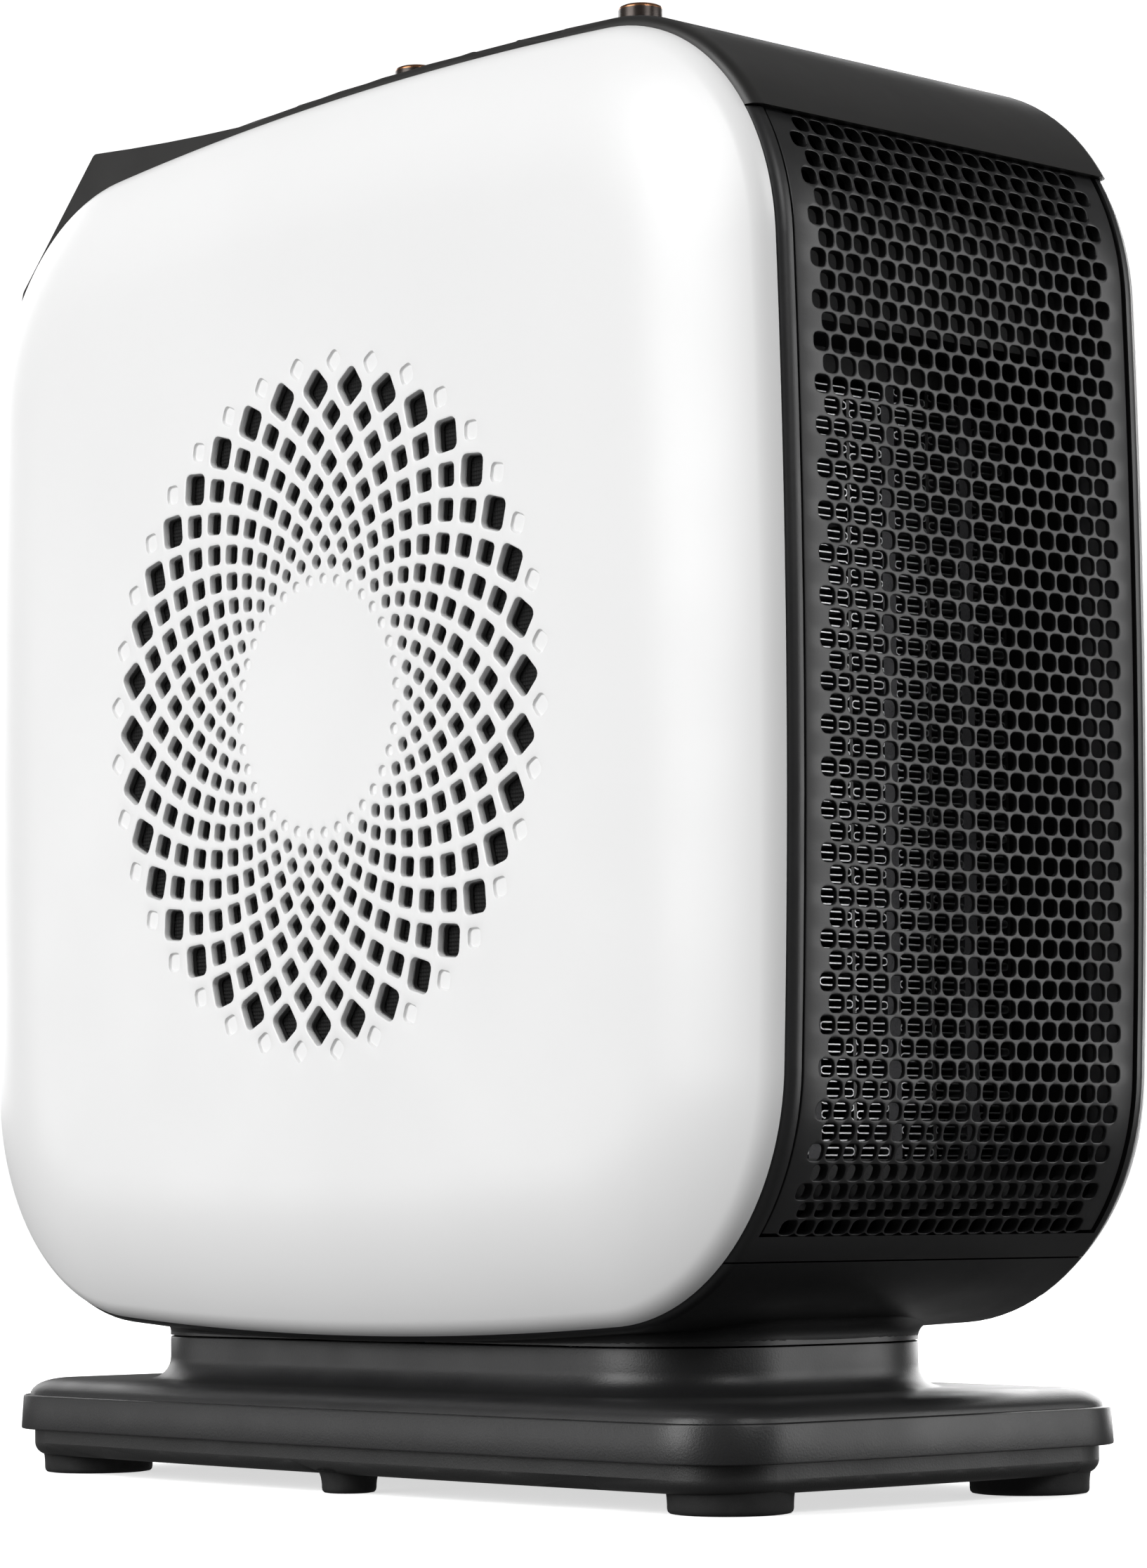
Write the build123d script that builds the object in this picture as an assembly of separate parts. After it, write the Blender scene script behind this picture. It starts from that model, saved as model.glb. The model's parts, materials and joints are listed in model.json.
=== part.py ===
from build123d import *
from math import atan2, cos, exp, log, pi, radians, sin, sqrt, tan
import os

# Ceramic space heater on an oblong foot. Millimetres, +Z up, origin at the centre of the footprint
# on the floor. The outlet grille faces -Y, and the vented side panels face -X and +X.

# ---- base and foot ----
BASE_HALF_X = 61.0          # foot band, half width at the middle of the long sides
BASE_HALF_Y = 121.6         # foot band, half length at the middle of the short ends
BASE_BULGE_X = 2.0          # how far the long sides bow out
BASE_BULGE_Y = 1.0          # how far the short ends bow out
BASE_CORNER_R = 18.0
BAND_BOTTOM_Z = 9.85
BAND_TOP_Z = 17.35
BAND_PROUD = 1.5            # the band stands this far out of the plate above it
PLATE_TOP_Z = 21.0
BASE_WALL = 2.5
PAN_BOTTOM_Z = 4.0
PAN_INSET = 3.0
PAN_WALL = 2.5
PAN_EDGE_R = 2.8
FOOT_R = 12.0
FOOT_X = 41.0
FOOT_Y = 104.0
MID_FOOT_R = 5.5
MID_FOOT_X = 51.0
FOOT_SINK = 1.5             # depth of the pocket each rubber foot is glued into

# ---- pedestal and neck ----
PED_HALF_X = 40.5
PED_HALF_Y = 93.0
PED_Y = 3.0                 # the pedestal sits slightly behind the foot's centre
PED_CORNER_R = 28.0
PED_TOP_Z = 30.4
PED_FLARE_R = 4.0
SEAM_GAP = 0.3              # between the fixed pedestal and the swinging neck

# ---- head outline, seen along X ----
HEAD_Z = 161.0              # height of the head's centre
HEAD_HALF_Y = 130.3
HEAD_HALF_Z = 129.0
CORNER_Y = 78.3             # centres of the four corner arcs, from the head's centre
CORNER_Z = 75.8
CORNER_R = 50.4
CORE_HALF_X = 49.3          # half width of the dark middle shells
FACE_HALF_X = 60.3          # outer face of each side panel
PANEL_WALL = 2.5
PANEL_DOME_R = 55.0         # radius of the panel's fall-off towards its rim
FRAME_PROUD = 1.2           # front, rear and bottom shells stand this far out of the side panels
TOP_PROUD = 2.4             # top cover
EDGE_R = 2.6
SHELL_WALL = 3.0
PART_GAP = 0.15             # half of the joint line between two shells
FAR = 400.0                 # beyond every part, for open-ended cuts
SHELL_SPLIT_Y = 60.0        # the front and rear shells reach in as far as this
NECK_H = 10.0               # the neck runs this far up into the bottom shell
TOP_SEAM_FRONT_Z = 264.3
TOP_SEAM_REAR_Z = 245.0
LOW_SEAM_FRONT_Z = 47.2
LOW_SEAM_REAR_Z = 62.0

# ---- raised rear edge of the top cover ----
RIDGE_START = (-6.0, 289.5)
RIDGE_MID = (36.2, 290.7)
RIDGE_PEAK = (92.7, 295.2)
RIDGE_FOOT = (121.2, 268.5)
RIDGE_HEEL = (126.3, 250.9)
RIDGE_T = 12.0              # the polygon's depth at its lower end
RIDGE_R = 2.0

# ---- outlet grille ----
GRILLE_HALF_X = 43.3        # half width of the pierced face
FRAME_HOLE_X = 46.0         # half width of the frame's opening; a sunk lip fills the groove between
GRILLE_BOTTOM_Z = 52.0
GRILLE_WALL = 2.2
LIP_SUNK = 1.6
HOLE_PITCH = 4.62           # columns; rows stand at pitch * sqrt(3) / 2, every other one shifted
HOLE_W = HOLE_PITCH - 0.9
HOLE_H = HOLE_PITCH * sqrt(3) / 2 - 0.7
HOLE_COLUMNS = 18

# ---- side intake: crossing spirals of diamond holes ----
VENT_RADII = (65.6, 59.8, 54.9, 50.0, 45.5, 41.2, 37.2, 33.4, 29.8)
VENT_SIDES = (6.5, 4.75, 4.5, 4.15, 3.95, 3.6, 3.25, 2.9, 2.6)
VENT_COUNT = 36
VENT_Y = -2.4
FILTER_R = 73.0
FILTER_T = 1.2
BOSS_R = 4.0
BOSS_REACH = 66.0           # panel bosses, from the head's centre along Y and along Z

# ---- bulkheads ----
BULK_OUT_X = 48.3
BULK_T = 2.0
BULK_CLEAR = 0.2
LUG_LENGTH = 12.0
LUG_W = 8.0
LUG_Z = 62.0                # rear cover screws, above and below the head's centre

# ---- blower ----
ROTOR_Y = 20.0
ROTOR_R = 50.0
ROTOR_DEPTH = 10.0
ROTOR_HALF_X = 36.0
ROTOR_BLADES = 36
BLADE_T = 1.0
BLADE_ANGLE = 32.0
WEB_T = 2.0
RIM_W = 3.0
HUB_R = 8.0
SCROLL_START_R = ROTOR_R + 5.0
SCROLL_END_R = ROTOR_R + 16.0
SCROLL_START_DEG = -145.0
SCROLL_WALL = 2.0
SCROLL_SPLIT_GAP = 0.1
INLET_R = ROTOR_R - 6.0
MOTOR_R = 22.0
MOTOR_START_X = 6.0
SHAFT_R = 3.0
RUN_CLEAR = 0.05            # radial clearance of every running fit
BEARING_R = 7.0
BEARING_L = 6.0
SPIDER_RING_IN = ROTOR_R - 1.0
SPIDER_RING_OUT = ROTOR_R + 7.0
SPIDER_ARM_W = 9.0

# ---- heater ----
DUCT_HALF_X = 45.3
DUCT_WALL = 1.0
DUCT_BACK_Y = -70.0
DUCT_FRONT_Y = -116.0
DUCT_LOW_Z = 62.0
DUCT_HIGH_Z = 227.0
HEATER_FRONT_Y = -97.1
HEATER_BACK_Y = -72.0
HEATER_LOW_Z = 67.0
HEATER_HIGH_Z = 222.0
HEATER_PERIOD = 22.2        # plate, fins, ceramic bar, fins
BAR_T = 3.6
PLATE_T = 0.8
FIN_SHEET = 0.35
FIN_PITCH = 3.0
CAP_CLEAR = 0.2
BAFFLE_T = 1.5
BAFFLE_Y = -117.5
LOWER_BAFFLE_H = 5.0
UPPER_BAFFLE_H = 26.0
CUTOFF_R = 7.0
CUTOFF_H = 6.0

# ---- controls ----
THERMOSTAT_Y = -36.7        # each knob's distance from the head's centre, towards the back
MODE_Y = 38.4
KNOB_R = 4.75
KNOB_H = 16.9               # how far a knob's top stands over the cover's own outline
MODE_LIFT = 2.3             # the rear knob stands higher, on the raised edge's slope
KNOB_GAP = 0.7
KNOB_EDGE_R = 0.5
STEM_R = 3.0
BUSH_R = 4.6
BUSH_HOLE_R = 5.0
SWITCH_HALF = 12.0
SWITCH_TOP_Z = 284.0
TRAY_Z = 250.0
TRAY_T = 2.0
TRAY_HALF_Y = 56.0
POST_H = 5.0
BOARD_T = 1.6
BOARD_HALF_X = 36.0
BOARD_HALF_Y = 52.0
RELAY_L = 16.0
RELAY_H = 15.0
CAPACITOR_R = 6.0
CAPACITOR_H = 14.0
TILT_SWITCH_H = 12.0
PARTS_X = 24.0              # board parts stand this far out to each side
PARTS_Y = 28.0

# ---- swing drive ----
POST_R = 12.0
POST_BORE_R = 8.0
POST_BOTTOM_Z = 19.5
SWING_GEAR_TEETH = 48
PINION_TEETH = 14
MODULE = 1.25
BACKLASH = 0.35
GEAR_LOW_Z = 20.5
GEAR_HIGH_Z = 25.0
WASHER_IN = 16.0
WASHER_OUT = 24.0
WASHER_T = 1.3
DRIVE_R = 20.0
DRIVE_H = 11.0
DRIVE_SHAFT_R = 2.5

# ---- cord outlet ----
GLAND_Z = 14.2
GLAND_R = 4.2
GLAND_BORE_R = 3.2
GLAND_FLANGE_R = 5.6
GLAND_FLANGE_T = 2.0
GLAND_OUT = 7.0
GLAND_IN = 8.0

# ---- screws ----
SCREW_R = 1.5
SCREW_CLEAR = 0.2
SCREW_HEAD_R = 2.9
SCREW_HEAD_H = 1.8
BASE_SCREW_L = 16.0
REAR_SCREW_L = 12.0
REAR_SCREW_SEAT = 3.0       # how deep the rear screws' heads are sunk
BASE_SCREW_X = 26.0
BASE_SCREW_Y = 78.0
SPIDER_SCREWS = 3


def write(name, shape):
    """Write one node as parts/NAME.step."""
    shape.label = name
    export_step(shape, os.path.join("parts", name + ".step"))


def arc_radius(half, along, across, corner_r):
    """Radius of the side arc that passes the middle of a side and meets both corner arcs smoothly."""
    rise = half - along
    return (rise ** 2 + across ** 2 - corner_r ** 2) / (2 * (rise - corner_r))


def bowed_rectangle(half_u, half_v, centre_u, centre_v, corner_r):
    """A rounded rectangle with gently bowed sides: eight arcs that meet smoothly."""
    side_r = arc_radius(half_u, centre_u, centre_v, corner_r)
    top_r = arc_radius(half_v, centre_v, centre_u, corner_r)
    first = atan2(centre_v, centre_u + side_r - half_u)
    last = atan2(centre_v + top_r - half_v, centre_u)
    edges = []
    for quarter, (su, sv) in enumerate(((1, 1), (-1, 1), (-1, -1), (1, -1))):
        angles = (first, (first + last) / 2, last)
        points = [
            (su * (centre_u + corner_r * cos(a)), sv * (centre_v + corner_r * sin(a))) for a in angles
        ]
        if quarter % 2:
            points.reverse()
        edges.append(points)
    middles = ((0, half_v), (-half_u, 0), (0, -half_v), (half_u, 0))
    lines = []
    for index, middle in enumerate(middles):
        lines.append(ThreePointArc(*edges[index]))
        lines.append(ThreePointArc(edges[index][-1], middle, edges[(index + 1) % 4][0]))
    return make_face(lines)


def head_outline(offset):
    """The head's side outline in the YZ plane, grown by offset."""
    face = bowed_rectangle(
        HEAD_HALF_Y + offset, HEAD_HALF_Z + offset, CORNER_Y, CORNER_Z, CORNER_R + offset
    )
    return Pos(0, HEAD_Z, 0) * face


def head_slab(offset, low_x, high_x):
    """The head's outline between two X planes."""
    return extrude(Plane.YZ.offset(low_x) * head_outline(offset), high_x - low_x)


def base_outline(inset):
    """Plan outline of the foot, shrunk by inset."""
    corner_r = BASE_CORNER_R - inset
    centre_x = BASE_HALF_X - BASE_CORNER_R - BASE_BULGE_X
    centre_y = BASE_HALF_Y - BASE_CORNER_R - BASE_BULGE_Y
    return bowed_rectangle(BASE_HALF_X - inset, BASE_HALF_Y - inset, centre_x, centre_y, corner_r)


def pedestal_outline(inset):
    """Plan outline of the pedestal and the neck, shrunk by inset."""
    width = 2 * (PED_HALF_X - inset)
    length = 2 * (PED_HALF_Y - inset)
    return Pos(0, PED_Y) * RectangleRounded(width, length, PED_CORNER_R - inset)


def prism(outline, low_z, high_z):
    """A plan outline between two heights."""
    return extrude(Pos(0, 0, low_z) * outline, high_z - low_z)


def block(low, high):
    """An axis-aligned box from its lowest to its highest corner."""
    size = [h - l for l, h in zip(low, high)]
    centre = [(h + l) / 2 for l, h in zip(low, high)]
    return Pos(*centre) * Box(*size)


def rod_z(x, y, radius, low_z, high_z):
    """A round rod along Z."""
    return Pos(x, y, (low_z + high_z) / 2) * Cylinder(radius, high_z - low_z)


def rod_x(y, z, radius, low_x, high_x):
    """A round rod along X."""
    return Pos((low_x + high_x) / 2, y, z) * Rot(0, 90, 0) * Cylinder(radius, high_x - low_x)


def rod_y(x, z, radius, low_y, high_y):
    """A round rod along Y."""
    return Pos(x, (low_y + high_y) / 2, z) * Rot(90, 0, 0) * Cylinder(radius, high_y - low_y)


def corners(x, y):
    """The four points at plus and minus x and y."""
    return [(sx * x, sy * y) for sx in (-1, 1) for sy in (-1, 1)]


def group(solids):
    """Several separate solids in one node."""
    return Compound(children=list(solids))


# ---- foot and pedestal ----

def foot_spots():
    """Centre and radius of each rubber foot."""
    spots = [(x, y, FOOT_R) for x, y in corners(FOOT_X, FOOT_Y)]
    spots += [(side * MID_FOOT_X, 0.0, MID_FOOT_R) for side in (-1, 1)]
    return spots


def base_top():
    """Upper shell of the foot: the outer band, the softly rounded plate and the pedestal."""
    band = prism(base_outline(0), BAND_BOTTOM_Z, BAND_TOP_Z)
    plate = prism(base_outline(BAND_PROUD), BAND_TOP_Z, PLATE_TOP_Z)
    plate = fillet(plate.faces().sort_by(Axis.Z)[-1].edges(), PLATE_TOP_Z - BAND_TOP_Z - 0.4)
    pedestal = prism(pedestal_outline(0), PLATE_TOP_Z - 1, PED_TOP_Z)
    flare_top = PLATE_TOP_Z + PED_FLARE_R
    flare = loft([
        Pos(0, 0, PLATE_TOP_Z - 0.2) * pedestal_outline(-PED_FLARE_R),
        Pos(0, 0, PLATE_TOP_Z + 0.3 * PED_FLARE_R) * pedestal_outline(-0.3 * PED_FLARE_R),
        Pos(0, 0, flare_top) * pedestal_outline(0),
    ], ruled=True)
    shell = band + plate + pedestal + flare
    shell -= prism(base_outline(BASE_WALL), BAND_BOTTOM_Z, BAND_TOP_Z - 1)
    shell -= prism(base_outline(BAND_PROUD + BASE_WALL + 2), BAND_TOP_Z - 1.2, PLATE_TOP_Z - BASE_WALL)
    shell -= prism(pedestal_outline(BASE_WALL), PLATE_TOP_Z - BASE_WALL - 0.2, PED_TOP_Z - BASE_WALL)
    boss_low = BAND_BOTTOM_Z
    for x, y in corners(BASE_SCREW_X, BASE_SCREW_Y):
        shell += rod_z(x, y, BOSS_R, boss_low, PED_TOP_Z - BASE_WALL + 0.5)
        shell -= rod_z(x, y, SCREW_R, boss_low, PAN_BOTTOM_Z + BASE_SCREW_L)
    shell += rod_z(0, 0, POST_R + 4, GEAR_HIGH_Z + 0.3, PED_TOP_Z - 1)
    shell -= rod_z(0, 0, POST_R + RUN_CLEAR, GEAR_HIGH_Z - 1, PED_TOP_Z + 1)
    washer_low = PED_TOP_Z + SEAM_GAP - WASHER_T
    shell -= rod_z(0, 0, WASHER_OUT, washer_low, PED_TOP_Z + 1) - rod_z(
        0, 0, WASHER_IN, washer_low, PED_TOP_Z + 1)
    shell -= rod_y(0, GLAND_Z, GLAND_R, BASE_HALF_Y - GLAND_IN, BASE_HALF_Y)
    return shell


def base_bottom():
    """Screwed-on pan that closes the foot from below."""
    pan = prism(base_outline(PAN_INSET), PAN_BOTTOM_Z, BAND_BOTTOM_Z)
    pan = fillet(pan.faces().sort_by(Axis.Z)[0].edges(), PAN_EDGE_R)
    pan -= prism(base_outline(PAN_INSET + PAN_WALL), PAN_BOTTOM_Z + PAN_WALL, BAND_BOTTOM_Z)
    for x, y in corners(BASE_SCREW_X, BASE_SCREW_Y):
        pan += rod_z(x, y, BOSS_R, PAN_BOTTOM_Z + 1, BAND_BOTTOM_Z)
        pan -= rod_z(x, y, SCREW_R + SCREW_CLEAR, PAN_BOTTOM_Z, BAND_BOTTOM_Z)
        pan -= rod_z(x, y, SCREW_HEAD_R + SCREW_CLEAR, PAN_BOTTOM_Z, PAN_BOTTOM_Z + SCREW_HEAD_H)
    for x, y, radius in foot_spots():
        pan -= rod_z(x, y, radius, PAN_BOTTOM_Z, PAN_BOTTOM_Z + FOOT_SINK)
    return pan


def rubber_feet():
    """Four corner feet and two small middle feet."""
    feet = []
    for x, y, radius in foot_spots():
        foot = rod_z(x, y, radius, 0, PAN_BOTTOM_Z + FOOT_SINK)
        feet.append(chamfer(foot.faces().sort_by(Axis.Z)[0].edges(), 0.8))
    return group(feet)


def screw_z(x, y, low_z, length):
    """A pan-head screw that points up."""
    return rod_z(x, y, SCREW_HEAD_R, low_z, low_z + SCREW_HEAD_H) + rod_z(
        x, y, SCREW_R, low_z, low_z + length)


def base_screws():
    """Screws from below, through the pan into the upper shell."""
    spots = corners(BASE_SCREW_X, BASE_SCREW_Y)
    return group(screw_z(x, y, PAN_BOTTOM_Z, BASE_SCREW_L) for x, y in spots)


def cord_gland():
    """Bushing in the back of the foot that the mains lead leaves through."""
    wall_y = BASE_HALF_Y
    tube = rod_y(0, GLAND_Z, GLAND_R, wall_y - GLAND_IN, wall_y + GLAND_OUT)
    tube += rod_y(0, GLAND_Z, GLAND_FLANGE_R, wall_y, wall_y + GLAND_FLANGE_T)
    return tube - rod_y(0, GLAND_Z, GLAND_BORE_R, wall_y - GLAND_IN, wall_y + GLAND_OUT)


# ---- swing drive ----

def gear(teeth, phase, sharp):
    """A spur gear's outline with involute flanks, a tooth centred on angle phase."""
    pitch_r = MODULE * teeth / 2
    base_r = pitch_r * cos(radians(20))
    tip_r = pitch_r + sharp * MODULE
    root_r = pitch_r - 1.2 * MODULE
    half_pitch = (pi / 2 - BACKLASH / MODULE) / teeth

    def half_angle(radius):
        """Half the tooth's thickness at a radius, as an angle."""
        if radius <= base_r:
            return half_pitch + tan(radians(20)) - radians(20)
        roll = sqrt((radius / base_r) ** 2 - 1)
        involute = roll - atan2(roll, 1)
        return half_pitch + tan(radians(20)) - radians(20) - involute

    start_r = max(base_r, root_r)
    radii = [start_r + (tip_r - start_r) * step / 3 for step in range(4)]
    if root_r < base_r:
        radii.insert(0, root_r)
    points = []
    for tooth in range(teeth):
        centre = phase + 2 * pi * tooth / teeth
        rising = [(r, centre - half_angle(r)) for r in radii]
        falling = [(r, centre + half_angle(r)) for r in reversed(radii)]
        points += [(r * cos(a), r * sin(a)) for r, a in rising + falling]
    return make_face(Polyline(*points, close=True))


def gear_distance():
    """Centre distance of the swing gear and its pinion."""
    return MODULE * (SWING_GEAR_TEETH + PINION_TEETH) / 2


def swing_gear():
    """Gear fixed under the pedestal's top to the head's post; it also keeps the head from lifting."""
    blank = prism(gear(SWING_GEAR_TEETH, pi / 2, 0.9), GEAR_LOW_Z, GEAR_HIGH_Z)
    return blank - rod_z(0, 0, POST_R, GEAR_LOW_Z, GEAR_HIGH_Z)


def swivel_post():
    """Hollow post from the head, through the pedestal, that carries the wires."""
    post = rod_z(0, 0, POST_R, POST_BOTTOM_Z, PED_TOP_Z + SEAM_GAP)
    return post - rod_z(0, 0, POST_BORE_R, POST_BOTTOM_Z, PED_TOP_Z + SEAM_GAP)


def thrust_washer():
    """Low-friction ring that the neck turns on."""
    top = PED_TOP_Z + SEAM_GAP
    ring = rod_z(0, 0, WASHER_OUT, top - WASHER_T, top)
    return ring - rod_z(0, 0, WASHER_IN, top - WASHER_T, top)


def drive_pinion():
    """Small gear on the swing motor's shaft."""
    phase = -pi / 2 + pi / PINION_TEETH
    blank = prism(gear(PINION_TEETH, phase, 0.9), GEAR_LOW_Z, GEAR_HIGH_Z)
    blank -= rod_z(0, 0, DRIVE_SHAFT_R, GEAR_LOW_Z, GEAR_HIGH_Z)
    return Pos(0, gear_distance(), 0) * blank


def drive_shaft():
    """Output shaft of the swing motor."""
    low = PAN_BOTTOM_Z + PAN_WALL + 2
    return rod_z(0, gear_distance(), DRIVE_SHAFT_R, low, GEAR_HIGH_Z)


def swing_motor():
    """Slow synchronous motor that stands on the pan."""
    low = PAN_BOTTOM_Z + PAN_WALL
    y = gear_distance()
    can = rod_z(0, y, DRIVE_R, low, low + DRIVE_H)
    return can - rod_z(0, y, DRIVE_SHAFT_R + RUN_CLEAR, low + 2, low + DRIVE_H)


# ---- head shells ----

def core_ring(proud):
    """The dark band between the side panels, with rounded outer edges and a hollow inside."""
    solid = head_slab(proud, -CORE_HALF_X, CORE_HALF_X)
    ends = solid.faces().filter_by(Axis.X)
    solid = fillet([edge for face in ends for edge in face.edges()], EDGE_R)
    return solid - head_slab(proud - SHELL_WALL, -CORE_HALF_X - 1, CORE_HALF_X + 1)


def span(low_y, high_y, low_z, high_z):
    """A region as wide as the head, used to cut the ring into shells."""
    wide = FACE_HALF_X + 10
    return block((-wide, low_y, low_z), (wide, high_y, high_z))


def front_frame(ring):
    """U-shaped frame round the grille."""
    low, high = LOW_SEAM_FRONT_Z + PART_GAP, TOP_SEAM_FRONT_Z - PART_GAP
    frame = ring & span(-FAR, -SHELL_SPLIT_Y, low, high)
    return frame - block((-FRAME_HOLE_X, -FAR, GRILLE_BOTTOM_Z), (FRAME_HOLE_X, 0, FAR))


def hole_centres():
    """Centres of the grille holes, row by row, from the bottom edge."""
    row_pitch = HOLE_PITCH * sqrt(3) / 2
    low = GRILLE_BOTTOM_Z + 1.5 + HOLE_H / 2
    rows = int((TOP_SEAM_FRONT_Z - 1.5 - HOLE_H / 2 - low) / row_pitch) + 1
    spots = []
    for row in range(rows):
        columns = HOLE_COLUMNS - row % 2
        for column in range(columns):
            x = (column - (columns - 1) / 2) * HOLE_PITCH
            spots.append((x, low + row * row_pitch))
    return spots


def front_grille():
    """Outlet grille: a thin shell on the head's outline, pierced by staggered holes."""
    skin = head_slab(FRAME_PROUD, -GRILLE_HALF_X, GRILLE_HALF_X)
    skin -= head_slab(FRAME_PROUD - GRILLE_WALL, -GRILLE_HALF_X - 1, GRILLE_HALF_X + 1)
    lip = head_slab(FRAME_PROUD - LIP_SUNK, -FRAME_HOLE_X, FRAME_HOLE_X)
    lip -= head_slab(FRAME_PROUD - SHELL_WALL, -FRAME_HOLE_X - 1, FRAME_HOLE_X + 1)
    lip -= head_slab(FRAME_PROUD, -GRILLE_HALF_X + 1, GRILLE_HALF_X - 1)
    skin += lip
    skin &= span(-FAR, -SHELL_SPLIT_Y, GRILLE_BOTTOM_Z, TOP_SEAM_FRONT_Z - PART_GAP)
    spots = [Pos(x, z) * Rectangle(HOLE_W, HOLE_H) for x, z in hole_centres()]
    holes = extrude(Plane.XZ.offset(SHELL_SPLIT_Y) * Sketch(children=spots), HEAD_HALF_Y)
    return skin - holes


def raised_edge():
    """The cover's rising rear part: it grows out of the rounded side edges and ends in a chamfer."""
    start, middle, peak = Vector(*RIDGE_START), Vector(*RIDGE_MID), Vector(*RIDGE_PEAK)
    foot, heel = Vector(*RIDGE_FOOT), Vector(*RIDGE_HEEL)
    inner = Vector(heel.X - RIDGE_T, heel.Y)
    rim = [ThreePointArc(start, middle, peak), Line(peak, foot), Line(foot, heel)]
    face = make_face(rim + [Line(heel, inner), Line(inner, start)])
    corners = [face.vertices().sort_by_distance((p.X, p.Y, 0))[0] for p in (peak, foot)]
    face = fillet(corners, RIDGE_R)
    solid = extrude(Plane.YZ.offset(-CORE_HALF_X) * face, 2 * CORE_HALF_X)
    return solid - head_slab(TOP_PROUD - SHELL_WALL, -CORE_HALF_X - 1, CORE_HALF_X + 1)


def top_cover(ring):
    """Top cover, with the raised rear edge and a hole for each knob's stem."""
    ring += raised_edge()
    cover = ring & span(-FAR, 0, TOP_SEAM_FRONT_Z + PART_GAP, FAR)
    cover += ring & span(0, FAR, TOP_SEAM_REAR_Z + PART_GAP, FAR)
    for y in (THERMOSTAT_Y, MODE_Y):
        cover -= rod_z(0, y, BUSH_HOLE_R, HEAD_Z, FAR)
    return cover


def lug_spots():
    """Screw axes of the rear cover, as X and Z."""
    x = BULK_OUT_X - BULK_T - LUG_W / 2
    return [(sx * x, HEAD_Z + sz * LUG_Z) for sx in (-1, 1) for sz in (-1, 1)]


def rear_cover(ring):
    """Rear shell, screwed to the bulkheads."""
    cover = ring & span(SHELL_SPLIT_Y, FAR, LOW_SEAM_REAR_Z + PART_GAP, TOP_SEAM_REAR_Z - PART_GAP)
    for x, z in lug_spots():
        cover -= rod_y(x, z, SCREW_R + SCREW_CLEAR, SHELL_SPLIT_Y, FAR)
        cover -= rod_y(x, z, SCREW_HEAD_R + SCREW_CLEAR, rear_screw_y(), FAR)
    return cover


def rear_screw_y():
    """Seat of the rear screws' heads, below the rear cover's surface at the lugs."""
    return HEAD_HALF_Y + FRAME_PROUD - REAR_SCREW_SEAT


def rear_screws():
    """Screws through the rear cover into the bulkheads' lugs."""
    screws = []
    for x, z in lug_spots():
        seat = rear_screw_y()
        shank = rod_y(x, z, SCREW_R, seat - REAR_SCREW_L, seat)
        screws.append(shank + rod_y(x, z, SCREW_HEAD_R, seat, seat + SCREW_HEAD_H))
    return group(screws)


def bottom_shell(ring):
    """Bottom shell with the neck that stands on the pedestal."""
    shell = ring & span(-FAR, 0, -FAR, LOW_SEAM_FRONT_Z - PART_GAP)
    shell += ring & span(0, FAR, -FAR, LOW_SEAM_REAR_Z - PART_GAP)
    neck = prism(pedestal_outline(0), PED_TOP_Z + SEAM_GAP, PED_TOP_Z + SEAM_GAP + NECK_H)
    neck -= head_slab(FRAME_PROUD - SHELL_WALL, -CORE_HALF_X, CORE_HALF_X)
    shell += neck
    return shell - rod_z(0, 0, POST_BORE_R, 0, HEAD_Z)


def panel_section(inset, drop):
    """One cross-section of the left side panel: the outline shrunk by inset, drop behind the face."""
    return Plane.YZ.offset(-FACE_HALF_X + drop) * head_outline(-inset)


def panel_blank(grow):
    """The side panel's outer form, moved inwards by grow."""
    depth = FACE_HALF_X - CORE_HALF_X
    reach = sqrt(PANEL_DOME_R ** 2 - (PANEL_DOME_R - depth) ** 2)
    sections = []
    for share in (0.0, 0.25, 0.5, 0.75, 1.0):
        along = share * reach
        fall = PANEL_DOME_R - sqrt(PANEL_DOME_R ** 2 - along ** 2)
        sections.append(panel_section(reach - along + grow, fall + grow))
    return loft(sections, ruled=True)


def vent_centres():
    """Centre, side and turn of each diamond hole; rings alternate by half a step."""
    holes = []
    for ring, (radius, side) in enumerate(zip(VENT_RADII, VENT_SIDES)):
        for index in range(VENT_COUNT):
            angle = 360.0 / VENT_COUNT * (index + 0.5 * (ring % 2))
            y = VENT_Y + radius * cos(radians(angle))
            z = HEAD_Z + radius * sin(radians(angle))
            holes.append((y, z, side, angle + 45))
    return holes


def side_panel():
    """Left side panel: a domed shell with the intake pattern and four bosses."""
    inner_cut = panel_blank(PANEL_WALL) + head_slab(-PANEL_WALL, -CORE_HALF_X - 0.6, -CORE_HALF_X + 3)
    shell = panel_blank(0) - inner_cut
    boss_end = -BULK_OUT_X
    boss_start = -FACE_HALF_X + PANEL_WALL - 0.5
    for y, z in corners(BOSS_REACH, BOSS_REACH):
        shell += rod_x(y, HEAD_Z + z, BOSS_R, boss_start, boss_end)
    spots = [Pos(y, z) * Rot(0, 0, turn) * Rectangle(side, side) for y, z, side, turn in vent_centres()]
    holes = extrude(Plane.YZ.offset(-FACE_HALF_X - 1) * Sketch(children=spots), PANEL_WALL + 2)
    return shell - holes


def intake_filter():
    """Fine dust mesh behind the left intake."""
    back = -FACE_HALF_X + PANEL_WALL
    return rod_x(0, HEAD_Z, FILTER_R, back, back + FILTER_T)


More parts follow.
